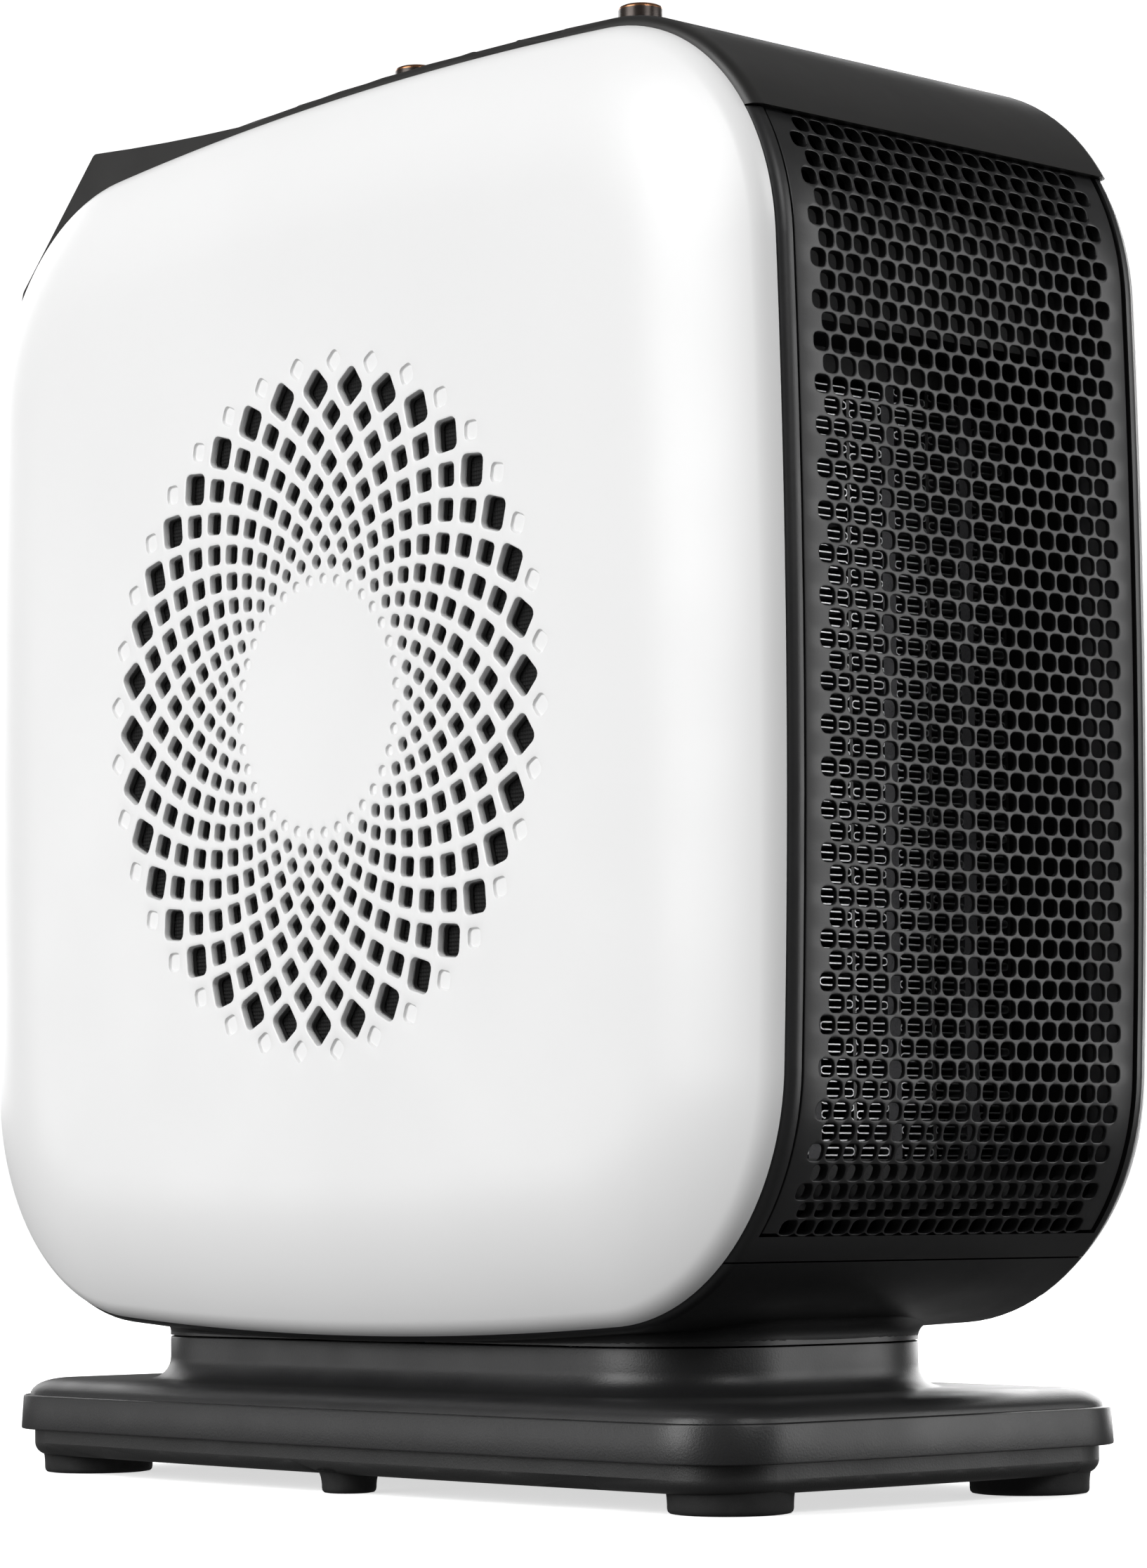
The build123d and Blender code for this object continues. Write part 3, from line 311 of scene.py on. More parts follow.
def intake(shell, face_x):
    """The pierced rings of the left panel; returns the outer and inner border loops."""
    half_step = pi / VENT_COUNT
    border_steps = VENT_CORNERS * CELL_SIDE_STEPS
    numbers = {}

    def lattice_edge(start, end):
        """Numbers of the points from one lattice corner to the next, without the last."""
        edge = []
        for step in range(CELL_SIDE_STEPS):
            share = step / CELL_SIDE_STEPS
            radius = start[0] + (end[0] - start[0]) * share
            angle = start[1] + (end[1] - start[1]) * share
            place = round(angle / half_step * CELL_SIDE_STEPS) % border_steps
            key = (round(radius, 3), place)
            if key not in numbers:
                point = (face_x, VENT_Y + radius * cos(angle), HEAD_Z + radius * sin(angle))
                numbers[key] = shell.loop([point])[0]
            edge.append(numbers[key])
        return edge

    for ring, (radius, side, corner_r, through) in enumerate(VENT_RINGS):
        profile = THROUGH_PROFILE if through else BLIND_PROFILE
        for index in range(VENT_COUNT):
            angle = half_step * (2 * index + (ring + 1) % 2)
            outer = cell_corner(ring - 1, angle)
            inner = cell_corner(ring + 1, angle)
            later = cell_corner(ring, angle + half_step)
            earlier = cell_corner(ring, angle - half_step)
            border = []
            for start, end in ((outer, later), (later, inner), (inner, earlier), (earlier, outer)):
                border += lattice_edge(start, end)
            previous = border
            for grow, depth in profile:
                local = rounded_cell(side / 2, side / 2, corner_r, grow)
                points = []
                for u, v in local:
                    # The cell's first point is its outer corner, along the ring's radius.
                    turn = angle - pi / 4
                    y = radius * cos(angle) + u * cos(turn) - v * sin(turn)
                    z = radius * sin(angle) + u * sin(turn) + v * cos(turn)
                    points.append((face_x + depth, VENT_Y + y, HEAD_Z + z))
                current = shell.loop(points)
                shell.bridge(previous, current)
                previous = current
            if not through:
                shell.cap(previous)

    def border_loop(outer_ring, offset):
        """The zigzag border between two lattice rings, evenly spaced in angle from zero."""
        loop = []
        for corner in range(VENT_CORNERS):
            angle = corner * half_step
            even = (corner + offset) % 2 == 0
            here, there = (outer_ring, outer_ring + 1) if even else (outer_ring + 1, outer_ring)
            loop += lattice_edge(cell_corner(here, angle), cell_corner(there, angle + half_step))
        return loop

    last = len(VENT_RINGS)
    outer_border = border_loop(-1, 1)
    inner_border = border_loop(last - 1, 0)
    return outer_border, inner_border


def side_panel():
    """Left panel: a flat face with the intake, that falls off in one curve to the dark frame."""
    shell = Shell()
    outer, inner = intake(shell, -FACE_X)
    count = len(outer)
    angles = [2 * pi * index / count for index in range(count)]

    def ring(radii, x, shift=0.0):
        """One loop of the panel at a depth, with a radius for each angle."""
        return [(x, shift + r * cos(a), HEAD_Z + r * sin(a)) for r, a in zip(radii, angles)]

    fall_off, reach, fall, start = [], 0.0, 0.0, 0.0
    for arc_r, end in PANEL_ARCS:
        for step in range(1, 9):
            tilt = start + (radians(end) - start) * step / 8
            along = reach + arc_r * (sin(tilt) - sin(start))
            fall_off.append((along, fall + arc_r * (cos(start) - cos(tilt))))
        reach, fall, start = *fall_off[-1], radians(end)
    depth = FACE_X - SEAM_X
    flat_edge = [HEAD.radius(a, -reach) for a in angles]
    start_r = VENT_OUTER_R + 1
    previous = outer
    for share in (0.08, 0.3, 0.65, 1.0):
        radii = [start_r + (edge - VENT_OUTER_R - 1) * share for edge in flat_edge]
        current = shell.loop(ring(radii, -FACE_X, VENT_Y * (1 - share)))
        shell.bridge(current, previous)
        previous = current
    for along, fall in fall_off:
        radii = [HEAD.radius(a, along - reach) for a in angles]
        current = shell.loop(ring(radii, -FACE_X + fall))
        shell.bridge(current, previous)
        previous = current
    for grow, fall in ((-0.25, depth + 0.25), (-1.2, depth + 0.3), (-1.6, depth - 1.0)):
        current = shell.loop(ring([HEAD.radius(a, grow) for a in angles], -FACE_X + fall))
        shell.bridge(current, previous)
        previous = current
    previous = inner
    for radius in HUB_RADII:
        current = shell.loop(ring([radius] * count, -FACE_X, VENT_Y))
        shell.bridge(previous, current)
        previous = current
    shell.cap(previous)
    return shell


def in_painted_vent_shade(centre):
    """Whether a face lies deep on the wall of a vent hole, where the walls get painted shade."""
    radius = sqrt((centre.y - VENT_Y) ** 2 + (centre.z - HEAD_Z) ** 2)
    return abs(centre.x) < FACE_X - VENT_SHADE_DEPTH and radius < VENT_OUTER_R


# ---- outlet grille ----

def grille_point(x, along, depth):
    """A point of the grille's sheet, across and along the head's front outline."""
    (u, v), _ = HEAD.side_point(along, GRILLE_PROUD - depth)
    return (x, -u, HEAD_Z + v)


def outlet_grille():
    """The grille: a sheet on the head's outline with staggered rounded holes."""
    shell = Shell()
    row_pitch = GRILLE_PITCH * sqrt(3) / 2
    low = HEAD.along_side(GRILLE_LOW_Z - HEAD_Z, GRILLE_PROUD)
    high = HEAD.along_side(GRILLE_HIGH_Z - HEAD_Z, GRILLE_PROUD)
    start = low + 0.55 * row_pitch
    rows = round((high - start) / row_pitch) + 1
    third = row_pitch / 3
    numbers = {}

    def border_point(x, along):
        """Number of a shared border point."""
        key = (round(x, 3), round(along, 3))
        if key not in numbers:
            numbers[key] = shell.loop([grille_point(x, along, 0.0)])[0]
        return numbers[key]

    half = GRILLE_PITCH / 2
    # Six corners, four steps a side; the walk starts at the upper right corner, as the hole's does.
    corners = (
        (half, third), (0, 2 * third), (-half, third),
        (-half, -third), (0, -2 * third), (half, -third),
    )
    for row in range(rows):
        columns = GRILLE_COLUMNS - row % 2
        along = start + row * row_pitch
        for column in range(columns):
            x = (column - (columns - 1) / 2) * GRILLE_PITCH
            border = []
            for index, (u, v) in enumerate(corners):
                nu, nv = corners[(index + 1) % 6]
                for step in range(4):
                    share = step / 4
                    point = (x + u + (nu - u) * share, along + v + (nv - v) * share)
                    border.append(border_point(*point))
            border = border[-1:] + border[:-1]
            previous = border
            open_row = ELEMENT_LOW_Z < grille_point(x, along, 0.0)[2] < ELEMENT_HIGH_Z
            for grow, depth in GRILLE_PROFILE if open_row else DEEP_PROFILE:
                local = rounded_cell(GRILLE_HOLE_W / 2, GRILLE_HOLE_H / 2, GRILLE_HOLE_R, grow)
                current = shell.loop([grille_point(x + u, along + v, depth) for u, v in local])
                shell.bridge(previous, current)
                previous = current
    for side in (-1, 1):
        border = []
        for row in range(rows):
            columns = GRILLE_COLUMNS - row % 2
            edge_x = columns / 2 * GRILLE_PITCH
            along = start + row * row_pitch
            if row:
                border += side_steps(side, edge_x, along, row, half, third)
            for step in range(5):
                border.append((side * edge_x, along - third + 2 * third * step / 4))
        points = []
        for x, along in border:
            if not points or points[-1] != (round(x, 3), round(along, 3)):
                points.append((round(x, 3), round(along, 3)))
        first = [border_point(x, along) for x, along in points]
        profile = ((GRILLE_HALF_X - 0.35, 0.0), (GRILLE_HALF_X - 0.1, 0.1), (GRILLE_HALF_X, 0.35),
                   (GRILLE_HALF_X + 0.02, 1.1), (GRILLE_HALF_X + 0.15, 1.2), (GRILLE_LIP_X, 1.2),
                   (GRILLE_LIP_X, 2.6))
        for x, depth in profile:
            current = shell.loop([grille_point(side * x, along, depth) for _, along in points])
            shell.bridge(first, current, closed=False)
            first = current
    return shell


def side_steps(side, edge_x, along, row, half, third):
    """The slanted border stretch between two rows at the grille's side."""
    before_x = edge_x + half if row % 2 else edge_x - half
    points = []
    for step in range(1, 4):
        share = step / 4
        x = before_x + (edge_x - before_x) * share
        points.append((side * x, along - 2 * third + third * share))
    return points


# ---- foot ----

def plan_outline(half, bow, corner_r):
    """An outline in plan from its half sizes, the bow of its sides and its corner radius."""
    centre = [h - b - corner_r for h, b in zip(half, bow)]
    return Outline(*half, *centre, corner_r)


def plan_loop(outline, grow, z, centre_y=0.0, count=360):
    """A plan outline's loop at a height."""
    return [(x, y + centre_y, z) for x, y in outline.loop(count, grow)]


def foot_shell():
    """Band, softly rounded plate and pedestal of the foot, as one moulding."""
    foot, pedestal = plan_outline(**FOOT), plan_outline(**PEDESTAL)
    band = (
        (-2.6, BAND_LOW_Z + 1.5), (-2.6, BAND_LOW_Z + 0.05),
        (-0.35, BAND_LOW_Z), (-0.08, BAND_LOW_Z + 0.1),
        (0.0, BAND_LOW_Z + 0.4), (-0.45, BAND_HIGH_Z - 0.5), (-0.6, BAND_HIGH_Z - 0.15),
        (-0.95, BAND_HIGH_Z), (-1.7, BAND_HIGH_Z), (-1.95, BAND_HIGH_Z + 0.08),
    )
    loops = [plan_loop(foot, grow, z) for grow, z in band]
    edge, rise = 8.0, PLATE_Z - BAND_HIGH_Z - 0.1
    for step in range(1, 9):
        turn = pi / 2 * step / 8
        grow = -2.0 - edge * (1 - cos(turn))
        loops.append(plan_loop(foot, grow, BAND_HIGH_Z + 0.1 + rise * sin(turn)))
    loops.append(plan_loop(foot, -13.0, PLATE_Z + 0.02))
    for step in range(9):
        turn = pi / 2 * step / 8
        grow, z = FLARE_R * (1 - sin(turn)), PLATE_Z + 0.05 + FLARE_R * (1 - cos(turn))
        loops.append(plan_loop(pedestal, grow, z, PEDESTAL_Y))
    for grow, z in ((0.0, PEDESTAL_TOP_Z - 0.4), (-0.1, PEDESTAL_TOP_Z - 0.1), (-0.4, PEDESTAL_TOP_Z),
                    (-4.0, PEDESTAL_TOP_Z), (-4.2, PEDESTAL_TOP_Z - 1.5)):
        loops.append(plan_loop(pedestal, grow, z, PEDESTAL_Y))
    shell = Shell()
    shell.stack(loops)
    return shell


def neck_flare():
    """The curve by which the short neck runs out into the head's underside."""
    pedestal = plan_outline(**PEDESTAL)

    def underside(y):
        """Height of the head's lower outline."""
        low, high = 0.0, HEAD_HALF_Y
        for _ in range(30):
            middle = (low + high) / 2
            reach = HEAD.radius(pi / 2 - middle / HEAD_HALF_Y * 1.2, FRAME_PROUD)
            across = reach * sin(middle / HEAD_HALF_Y * 1.2)
            low, high = (middle, high) if across < abs(y) else (low, middle)
        angle = (low + high) / 2 / HEAD_HALF_Y * 1.2
        return HEAD_Z - HEAD.radius(pi / 2 - angle, FRAME_PROUD) * cos(angle)

    low_z = PEDESTAL_TOP_Z + 0.3
    loops = []
    base = plan_loop(pedestal, 0.0, low_z, PEDESTAL_Y)
    loops.append([(x * 0.985, y * 0.985, z + 0.25) for x, y, z in base])
    loops.append([(x * 0.996, y * 0.996, z) for x, y, z in base])
    for step in range(9):
        turn = pi / 2 * step / 8
        points = []
        for index, (x, y, z) in enumerate(base):
            room = max(underside(y) - low_z, 0.0) + 0.2
            fillet = min(5.5, 0.8 * room)
            angle = 2 * pi * index / len(base)
            reach = pedestal.radius(angle, fillet * (1 - cos(turn)))
            y_out = PEDESTAL_Y + reach * sin(angle)
            z_out = underside(y_out) + 0.1 - fillet * (1 - sin(turn))
            points.append((reach * cos(angle), y_out, max(z_out, low_z + 0.02)))
        loops.append(points)
    shell = Shell()
    shell.stack(loops)
    return shell


def turned(profile, centre, count=64):
    """A shell turned about a vertical axis from (radius, z) pairs, closed at both ends."""
    shell = Shell()
    loops = []
    for radius, z in profile:
        ring = []
        for index in range(count):
            angle = 2 * pi * index / count
            ring.append((centre[0] + radius * cos(angle), centre[1] + radius * sin(angle), z))
        loops.append(ring)
    first, last = shell.stack(loops)
    shell.cap(reversed(first))
    shell.cap(last)
    return shell


def rubber_foot(centre, radius, flare, top_z):
    """A foot with a rounded tread edge and a flare where it runs into the pan."""
    profile = [(0.4, 0.0), (radius - 1.2, 0.0), (radius - 0.45, 0.12), (radius - 0.12, 0.45), (radius, 1.0)]
    for step in range(1, 9):
        turn = pi / 2 * step / 8
        profile.append((radius + flare * (1 - cos(turn)), 1.0 + (top_z - 1.0) * sin(turn)))
    return turned(profile + [(0.4, top_z)], centre)


def joined(shells):
    """Several shells as one."""
    whole = Shell()
    for shell in shells:
        start = len(whole.points)
        whole.points += shell.points
        whole.faces += [tuple(start + number for number in face) for face in shell.faces]
    return whole


# ---- controls and element ----

def knob(y, low_z, top):
    """A slim turned knob with a rolled rim and a dished top."""
    profile = (
        (3.2, low_z - 3.0), (3.2, low_z), (KNOB_R - 0.35, low_z), (KNOB_R - 0.1, low_z + 0.1),
        (KNOB_R, low_z + 0.35), (KNOB_R, top - KNOB_RIM_H), (KNOB_R - 0.06, top - 0.45),
        (KNOB_R - 0.25, top - 0.15), (KNOB_R - 0.55, top), (KNOB_R - 0.95, top - 0.05),
        (KNOB_R - 1.15, top - 0.3), (KNOB_R - 2.2, top - 0.42), (0.6, top - 0.45),
    )
    return turned(profile, (0.0, y), count=96)


def on_knob_rim(centre, middle):
    """Whether a face of a knob lies on its rolled rim."""
    from_axis = sqrt((centre.x - middle[0]) ** 2 + (centre.y - middle[1]) ** 2)
    return centre.z > middle[2] - KNOB_RIM_H and from_axis > KNOB_R - KNOB_RIM_W


def fin_strip(low_x, high_x, low_z, high_z, front_y, back_y):
    """One serpentine strip: level legs joined by round folds."""
    legs = int((high_z - low_z) / FIN_PITCH)
    fold_r = FIN_PITCH / 2
    middle = []
    for leg in range(legs):
        z = low_z + fold_r + leg * FIN_PITCH
        ends = (low_x + fold_r, high_x - fold_r)
        start, end = ends if leg % 2 == 0 else ends[::-1]
        way = 1 if leg % 2 == 0 else -1
        middle.append((start, z))
        for step in range(4):
            turn = -pi / 2 + pi * step / 4
            middle.append((end + way * fold_r * cos(turn), z + fold_r + fold_r * sin(turn)))
    shell = Shell()
    rows = [[], []]
    for index, (x, z) in enumerate(middle):
        before, after = middle[max(index - 1, 0)], middle[min(index + 1, len(middle) - 1)]
        du, dv = after[0] - before[0], after[1] - before[1]
        length = max(sqrt(du * du + dv * dv), 1e-6)
        nu, nv = -dv / length * FIN_SHEET / 2, du / length * FIN_SHEET / 2
        rows[0].append((x + nu, z + nv))
        rows[1].append((x - nu, z - nv))
    near = [[(x, front_y, z) for x, z in row] for row in rows]
    far = [[(x, back_y, z) for x, z in row] for row in rows]
    loops = [shell.loop(points) for points in (near[0], near[1], far[1], far[0])]
    for first, second in zip(loops, loops[1:] + loops[:1]):
        shell.bridge(first, second, closed=False)
    return shell


def heating_fins():
    """All the strips, each between a ceramic bar and a contact plate as the CAD sets them."""
    low, high = [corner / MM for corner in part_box("heater_fins")]
    strips = []
    for index in range(BARS):
        centre = (index - BARS // 2 + 0.5) * BAR_PITCH
        for side in (-1, 1):
            inner = centre + side * BAR_W / 2
            outer = max(low.x, min(high.x, centre + side * (BAR_PITCH - CONTACT_PLATE) / 2))
            ends = (min(inner, outer), max(inner, outer))
            strips.append(fin_strip(*ends, low.z, high.z, low.y, high.y))
    return joined(strips)


# ---- materials ----

class Finish:
    """A Principled material in object coordinates, built up by short calls."""

    def __init__(self, name, colour, roughness, metallic=0.0, specular=0.5):
        self.material = bpy.data.materials.new(name)
        self.material.use_nodes = True
        self.tree = self.material.node_tree
        self.shader = self.tree.nodes["Principled BSDF"]
        self.shader.inputs["Base Color"].default_value = (*colour, 1.0)
        self.shader.inputs["Roughness"].default_value = roughness
        self.shader.inputs["Metallic"].default_value = metallic
        self.shader.inputs["Specular IOR Level"].default_value = specular
        self.colour, self.roughness = colour, roughness
        self.coordinates = self.node("ShaderNodeTexCoord").outputs["Object"]
        self.normal = None

    def node(self, kind, **settings):
        """A new node with some settings."""
        made = self.tree.nodes.new(kind)
        for key, value in settings.items():
            setattr(made, key, value)
        return made

    def link(self, output, target):
        """Link an output to an input."""
        self.tree.links.new(output, target)

    def stretched(self, factors):
        """Coordinates scaled along each axis."""
        mapping = self.node("ShaderNodeMapping")
        mapping.inputs["Scale"].default_value = factors
        self.link(self.coordinates, mapping.inputs["Vector"])
        return mapping.outputs["Vector"]

    def noise(self, size, detail=2.0, stretch=None):
        """Noise whose features are about this many millimetres across."""
        made = self.node("ShaderNodeTexNoise")
        made.inputs["Scale"].default_value = 1.0 / (size * MM)
        made.inputs["Detail"].default_value = detail
        self.link(self.stretched(stretch) if stretch else self.coordinates, made.inputs["Vector"])
        return made.outputs["Fac"]

    def cells(self, size, feature="F1", stretch=None):
        """Cell noise of about this many millimetres."""
        made = self.node("ShaderNodeTexVoronoi", feature=feature)
        made.inputs["Scale"].default_value = 1.0 / (size * MM)
        self.link(self.stretched(stretch) if stretch else self.coordinates, made.inputs["Vector"])
        return made.outputs["Distance"]

    def waves(self, size, direction, stretch=None):
        """Parallel bands, one per this many millimetres."""
        made = self.node("ShaderNodeTexWave", wave_type="BANDS", bands_direction=direction)
        made.inputs["Scale"].default_value = 1.0 / (size * MM) / 20 * 6.2832
        self.link(self.stretched(stretch) if stretch else self.coordinates, made.inputs["Vector"])
        return made.outputs["Fac"]

    def ranged(self, value, low, high, first=0.0, last=1.0):
        """A value mapped from one range to another."""
        made = self.node("ShaderNodeMapRange")
        for key, number in zip(("From Min", "From Max", "To Min", "To Max"), (first, last, low, high)):
            made.inputs[key].default_value = number
        self.link(value, made.inputs["Value"])
        return made.outputs["Result"]

    def tint(self, value, colour, first=0.35, last=0.65):
        """Blend towards another colour where the value is high."""
        made = self.node("ShaderNodeMix", data_type="RGBA")
        source = self.shader.inputs["Base Color"]
        if source.is_linked:
            self.link(source.links[0].from_socket, made.inputs["A"])
        else:
            made.inputs["A"].default_value = (*self.colour, 1.0)
        made.inputs["B"].default_value = (*colour, 1.0)
        self.link(self.ranged(value, 0.0, 1.0, first, last), made.inputs["Factor"])
        self.link(made.outputs["Result"], source)
        return self

    def gloss(self, value, spread):
        """Let the roughness wander by this much either way."""
        varied = self.ranged(value, self.roughness - spread, self.roughness + spread, 0.3, 0.7)
        self.link(varied, self.shader.inputs["Roughness"])
        return self

    def relief(self, value, height, strength=1.0):
        """Add a bump of this height in millimetres."""
        made = self.node("ShaderNodeBump")
        made.inputs["Distance"].default_value = height * MM
        made.inputs["Strength"].default_value = strength
        self.link(value, made.inputs["Height"])
        if self.normal:
            self.link(self.normal, made.inputs["Normal"])
        self.normal = made.outputs["Normal"]
        self.link(self.normal, self.shader.inputs["Normal"])
        return self


def scaled(colour, factor):
    """A colour, lighter or darker."""
    return tuple(min(1.0, c * factor) for c in colour)


def moulded(name, colour, roughness, grain, height, specular=0.5):
    """Moulded plastic with a spark-eroded grain and faint flow clouds."""
    finish = Finish(name, colour, roughness, specular=specular)
    finish.tint(finish.noise(45.0), scaled(colour, 1.18))
    finish.tint(finish.noise(0.9, 3.0), scaled(colour, 0.88), 0.5, 0.75)
    finish.gloss(finish.noise(14.0, 4.0), 0.04)
    finish.relief(finish.noise(grain, 2.0), height)
    return finish.relief(finish.noise(7.0), 0.02).material


def polished(name, colour, roughness):
    """Smooth plastic with a slight orange peel."""
    finish = Finish(name, colour, roughness)
    finish.tint(finish.noise(60.0), scaled(colour, 0.975))
    finish.gloss(finish.noise(30.0, 5.0), 0.03)
    finish.relief(finish.noise(2.4, 1.0), 0.006)
    return finish.material


def brushed(name, colour, roughness, stretch=(1.0, 1.0, 0.04)):
    """Metal with fine drawn lines."""
    finish = Finish(name, colour, roughness, metallic=1.0)
    lines = finish.noise(0.25, 3.0, stretch)
    finish.tint(lines, scaled(colour, 0.8))
    finish.gloss(finish.noise(9.0, 4.0), 0.07)
    return finish.relief(lines, 0.012).material


def sheet_zinc(name, colour):
    """Galvanised sheet with spangles."""
    finish = Finish(name, colour, 0.42, metallic=1.0)
    finish.tint(finish.cells(6.0), scaled(colour, 0.75), 0.1, 0.6)
    finish.gloss(finish.cells(6.0), 0.1)
    return finish.relief(finish.noise(1.5, 4.0), 0.01).material


def sintered(name, colour, metallic):
    """Pressed and sintered grains with darker pores."""
    finish = Finish(name, colour, 0.6, metallic=metallic)
    finish.tint(finish.noise(0.5, 4.0), scaled(colour, 0.6), 0.5, 0.7)
    finish.tint(finish.noise(8.0, 3.0), scaled(colour, 1.3), 0.45, 0.7)
    return finish.relief(finish.noise(0.35, 3.0), 0.06).material


def woven(name, colour):
    """A fine woven mesh."""
    finish = Finish(name, colour, 0.7, specular=0.25)
    for direction in ("Y", "Z"):
        threads = finish.waves(0.8, direction)
        finish.tint(threads, scaled(colour, 3.0), 0.55, 1.0)
        finish.relief(threads, 0.15)
    return finish.material


def circuit(name, colour):
    """Solder resist over copper tracks."""
    finish = Finish(name, colour, 0.3)
    tracks = finish.cells(5.0, "DISTANCE_TO_EDGE", (1.0, 1.0, 0.2))
    finish.tint(tracks, scaled(colour, 1.9), 0.03, 0.05)
    finish.tint(finish.cells(3.1, "F1"), (0.55, 0.55, 0.5), 0.09, 0.05)
    return finish.relief(tracks, 0.03).material


def rubber(name, colour):
    """Matt rubber with a fine bloom."""
    finish = Finish(name, colour, 0.78, specular=0.35)
    finish.tint(finish.noise(3.0, 5.0), scaled(colour, 1.5), 0.45, 0.8)
    finish.relief(finish.noise(0.5, 3.0), 0.03)
    return finish.material


def lacquered(name, colour, roughness, metallic):
    """Dark lacquer over turned metal."""
    finish = Finish(name, colour, roughness, metallic=metallic)
    rings = finish.noise(0.3, 2.0, (0.05, 0.05, 1.0))
    finish.tint(rings, scaled(colour, 1.35), 0.45, 0.75)
    finish.gloss(finish.noise(2.0, 3.0), 0.05)
    return finish.relief(rings, 0.008).material


def slot_materials():
    """One material for each slot of the record."""
    colours = {entry["slot"]: tuple(entry["base_color"]) for entry in frame["record"]["materials"]}
    shell = (0.012, 0.012, 0.0125)
    return {
        "shell_black": moulded("shell_black", shell, 0.4, 0.3, 0.012),
        "top_black": moulded("top_black", (0.011, 0.0105, 0.01), 0.42, 0.22, 0.006),
        "foot_black": moulded("foot_black", shell, 0.42, 0.42, 0.035),
        "pan_black": moulded("pan_black", (0.012, 0.012, 0.012), 0.48, 0.42, 0.035),
        "panel_white": polished("panel_white", (0.83, 0.83, 0.83), 0.33),
        # painted shade: dark grey for the deep walls of the intake holes, in place of the shade inside them
        "vent_shade_paint": polished("vent_shade_paint", (0.06, 0.06, 0.06), 0.5),
        "rubber": rubber("rubber", (0.012, 0.012, 0.012)),
        "screw_steel": brushed("screw_steel", colours["screw_steel"], 0.35),
        "filter_mesh": woven("filter_mesh", (0.002, 0.002, 0.002)),
        "gear_nylon": polished("gear_nylon", colours["gear_nylon"], 0.45),
        "steel": brushed("steel", colours["steel"], 0.25),
        "motor_can": brushed("motor_can", colours["motor_can"], 0.38),
        "bronze": sintered("bronze", colours["bronze"], 1.0),
        "zinc_sheet": sheet_zinc("zinc_sheet", colours["zinc_sheet"]),
        "housing_black": moulded("housing_black", (0.008, 0.008, 0.0085), 0.6, 0.4, 0.02, 0.35),
        "rotor_plastic": moulded("rotor_plastic", (0.02, 0.02, 0.022), 0.45, 0.4, 0.015),
        "dull_plate": brushed("dull_plate", (0.12, 0.12, 0.12), 0.55),
        "ceramic": sintered("ceramic", (0.09, 0.09, 0.095), 0.2),
        "fin_aluminium": brushed("fin_aluminium", (0.62, 0.63, 0.64), 0.42, (1.0, 0.04, 1.0)),
        "cap_insulator": sintered("cap_insulator", (0.03, 0.03, 0.03), 0.0),
        "component_body": moulded("component_body", colours["component_body"], 0.4, 0.3, 0.02),
        "circuit_green": circuit("circuit_green", colours["circuit_green"]),
        "knob_bronze": lacquered("knob_bronze", (0.035, 0.026, 0.022), 0.3, 0.55),
        "knob_rim": lacquered("knob_rim", (0.32, 0.15, 0.075), 0.28, 1.0),
    }


def paint_nodes(materials):
    """Give every CAD node the material of its slot in the record."""
    for part in frame["record"]["subparts"]:
        node = frame["nodes"][part["node"]]
        node.data.materials.clear()
        own = OWN_FINISH.get(part["node"], part["material_slot"])
        node.data.materials.append(materials[own])


# ---- studio ----

def softbox(name, centre, target, size, power):
    """A rectangular area light that faces a point."""
    light = bpy.data.lights.new(name, "AREA")
    light.shape = "RECTANGLE"
    light.size, light.size_y = size
    light.energy = power
    lamp = bpy.data.objects.new(name, light)
    lamp.location = centre
    lamp.rotation_mode = "QUATERNION"
    lamp.rotation_quaternion = (Vector(target) - Vector(centre)).to_track_quat("-Z", "Y")
    bpy.context.collection.objects.link(lamp)


def circle(radius, z, count=96):
    """A level circle round the object."""
    return [(radius * cos(2 * pi * i / count), radius * sin(2 * pi * i / count), z) for i in range(count)]


def staged(name, shell, finish):
    """A piece of the studio, which lights nothing but itself."""
    mesh = bpy.data.meshes.new(name)
    mesh.from_pydata([[c * MM for c in point] for point in shell.points], [], shell.faces)
    mesh.polygons.foreach_set("use_smooth", [True] * len(mesh.polygons))
    mesh.materials.append(finish.material)
    thing = bpy.data.objects.new(name, mesh)
    bpy.context.collection.objects.link(thing)
    thing.visible_diffuse = thing.visible_glossy = False
    return thing


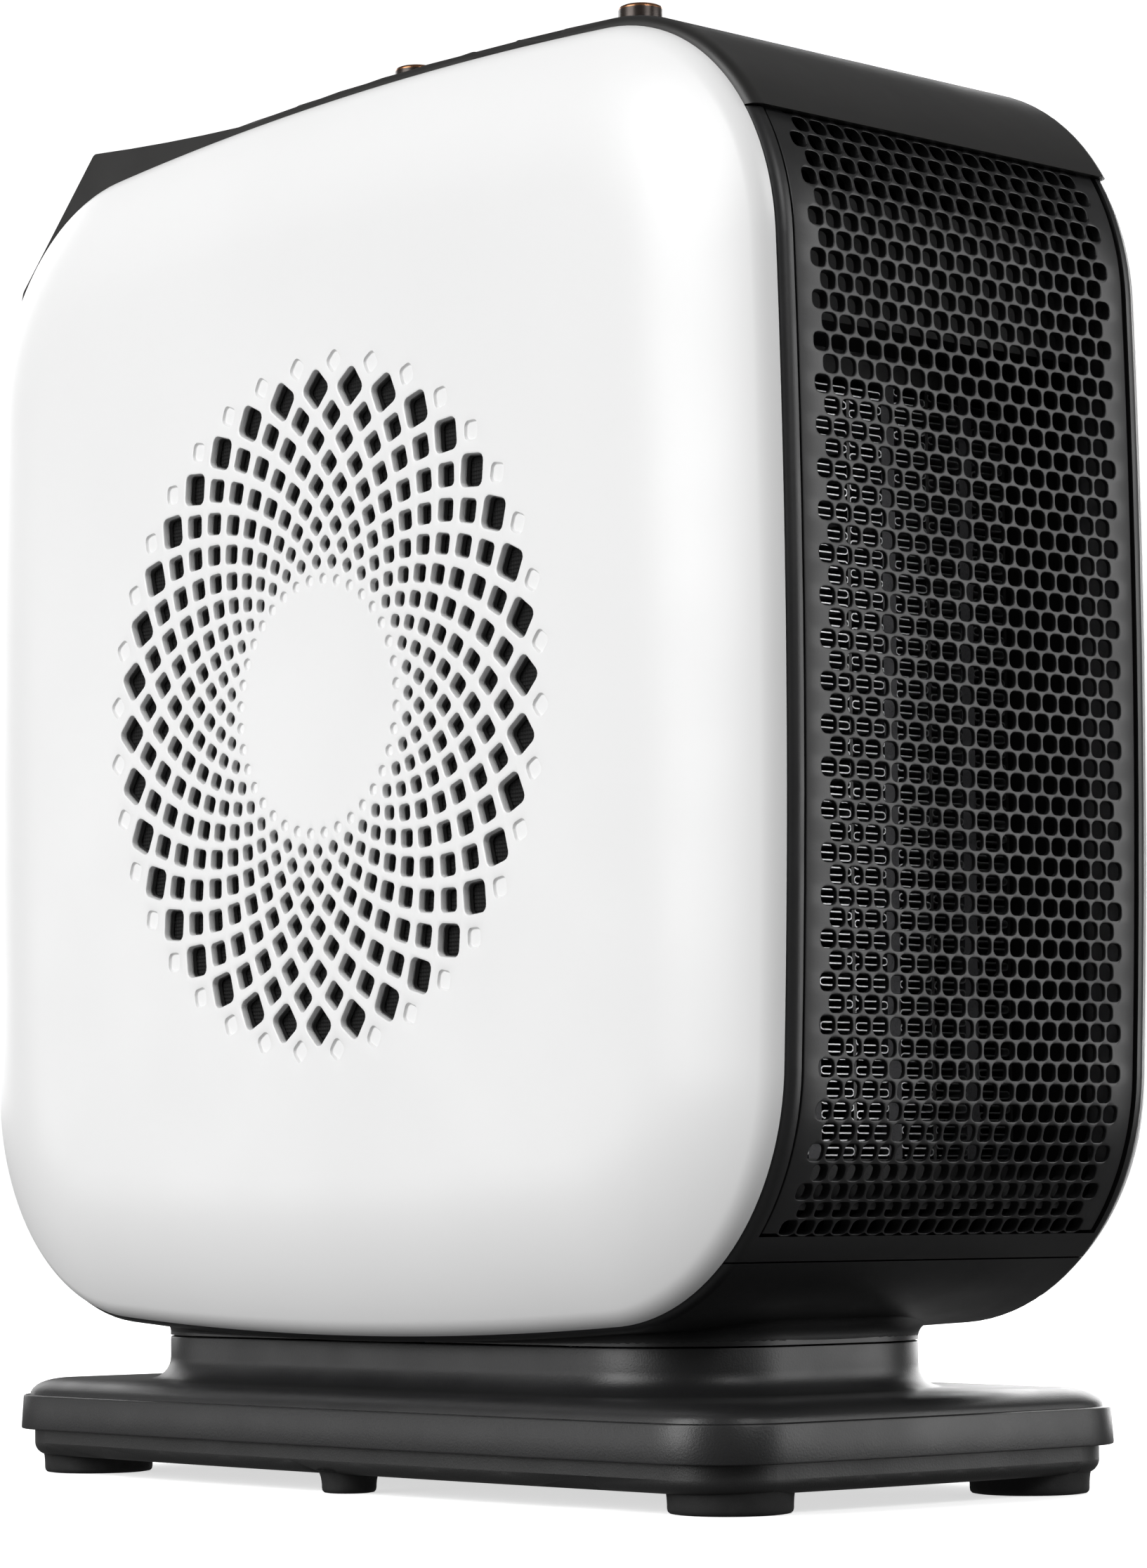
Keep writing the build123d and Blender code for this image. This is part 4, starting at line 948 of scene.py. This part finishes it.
def studio():
    """Round pale floor that sweeps up to a bright wall, and soft boxes."""
    paper = Finish("floor_paper", (0.93, 0.93, 0.93), 0.9, specular=0.2)
    paper.tint(paper.noise(400.0), (0.95, 0.95, 0.95))
    paper.relief(paper.noise(3.0, 4.0), 0.05)
    paper.shader.inputs["Emission Color"].default_value = (1.0, 1.0, 1.0, 1.0)
    middle = paper.node("ShaderNodeTexGradient", gradient_type="SPHERICAL")
    paper.link(paper.stretched((1 / GLOW_REACH,) * 3), middle.inputs["Vector"])
    glow = paper.ranged(middle.outputs["Fac"], WALL_GLOW, FLOOR_GLOW, 0.0, 0.6)
    paper.link(glow, paper.shader.inputs["Emission Strength"])
    floor = Shell()
    first, _ = floor.stack([circle(radius, 0.0) for radius in (100.0, 500.0, 1500.0, FLOOR_R)])
    floor.cap(reversed(first))
    staged("floor", floor, paper)
    wall = Finish("wall_paper", (0.93, 0.93, 0.93), 0.9, specular=0.2)
    wall.shader.inputs["Emission Color"].default_value = (1.0, 1.0, 1.0, 1.0)
    wall.shader.inputs["Emission Strength"].default_value = WALL_GLOW
    sweep = [circle(FLOOR_R, 0.0)]
    for step in range(1, 9):
        turn = pi / 2 * step / 8
        sweep.append(circle(FLOOR_R + SWEEP_R * sin(turn), SWEEP_R * (1 - cos(turn))))
    sweep += [circle(FLOOR_R + SWEEP_R, WALL_H), circle(10.0, WALL_H)]
    bowl = Shell()
    bowl.stack(sweep)
    staged("backdrop", bowl, wall).visible_shadow = False
    world = bpy.data.worlds.new("studio")
    bpy.context.scene.world = world
    world.use_nodes = True
    sky = world.node_tree.nodes["Background"]
    sky.inputs["Color"].default_value = (1.0, 1.0, 1.0, 1.0)
    sky.inputs["Strength"].default_value = SKY_STRENGTH
    for box in SOFTBOXES:
        softbox(*box)
    bpy.context.scene.view_settings.view_transform = "Standard"


def camera():
    """The camera at the photograph's angle: from the front left, just above the floor."""
    yaw, pitch, roll = [radians(turn) for turn in (CAMERA_YAW, CAMERA_PITCH, CAMERA_ROLL)]
    forward = Vector((sin(yaw) * cos(pitch), cos(yaw) * cos(pitch), sin(pitch)))
    level = forward.cross(Vector((0, 0, 1))).normalized()
    up = level.cross(forward)
    right = cos(roll) * level + sin(roll) * up
    up = -sin(roll) * level + cos(roll) * up
    data = bpy.data.cameras.new("camera")
    data.sensor_width = 36.0
    data.lens = 101.25
    data.shift_y = 0.13
    data.clip_start, data.clip_end = 0.01, 100.0
    view = bpy.data.objects.new("camera", data)
    facing = Matrix((right, up, -forward)).transposed().to_4x4()
    view.matrix_world = Matrix.Translation(CAMERA_PLACE) @ facing
    bpy.context.collection.objects.link(view)
    bpy.context.scene.camera = view


# ---- assembly ----

def main():
    """Dress the frame."""
    materials = slot_materials()
    paint_nodes(materials)

    panel = side_panel()
    for side, shell in (("left", panel), ("right", panel.mirrored())):
        node = side + "_side_panel"
        piece = make_piece(side + "_panel", shell, materials["panel_white"], "head",
                           [node])
        # the deep walls of the intake holes get the dark grey painted shade
        add_material(piece, materials["vent_shade_paint"], in_painted_vent_shade)
    make_piece("outlet_grille", outlet_grille(), materials["shell_black"], "head",
               ["front_grille"])
    make_piece("element_fins", heating_fins(), materials["fin_aluminium"], "head",
               ["heater_fins"])
    make_piece("foot_shell", foot_shell(), materials["foot_black"], "base",
               ["base_top"])
    corners = [(sx * FOOT_SPOT[0], sy * FOOT_SPOT[1]) for sx in (-1, 1) for sy in (-1, 1)]
    feet = [rubber_foot(spot, FOOT_PAD_R, 0.5, PAN_Z + 0.6) for spot in corners]
    middle_spots = [(side * MIDDLE_FOOT_X, 0.0) for side in (-1, 1)]
    feet += [rubber_foot(spot, MIDDLE_PAD_R, 1.2, PAN_Z + 0.6) for spot in middle_spots]
    make_piece("foot_pads", joined(feet), materials["rubber"], "base", ["rubber_feet"])
    make_piece("neck_flare", neck_flare(), materials["shell_black"], "head")
    for name in ("thermostat_knob", "mode_knob"):
        low, high = [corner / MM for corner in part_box(name)]
        shell = knob((low.y + high.y) / 2, KNOB_LOW_Z, high.z)
        piece = make_piece(name + "_cap", shell, materials["knob_bronze"], name,
                           [name])
        middle = ((low.x + high.x) / 2, (low.y + high.y) / 2, high.z)
        add_material(piece, materials["knob_rim"], lambda centre: on_knob_rim(centre, middle))
    camera()
    studio()


main()
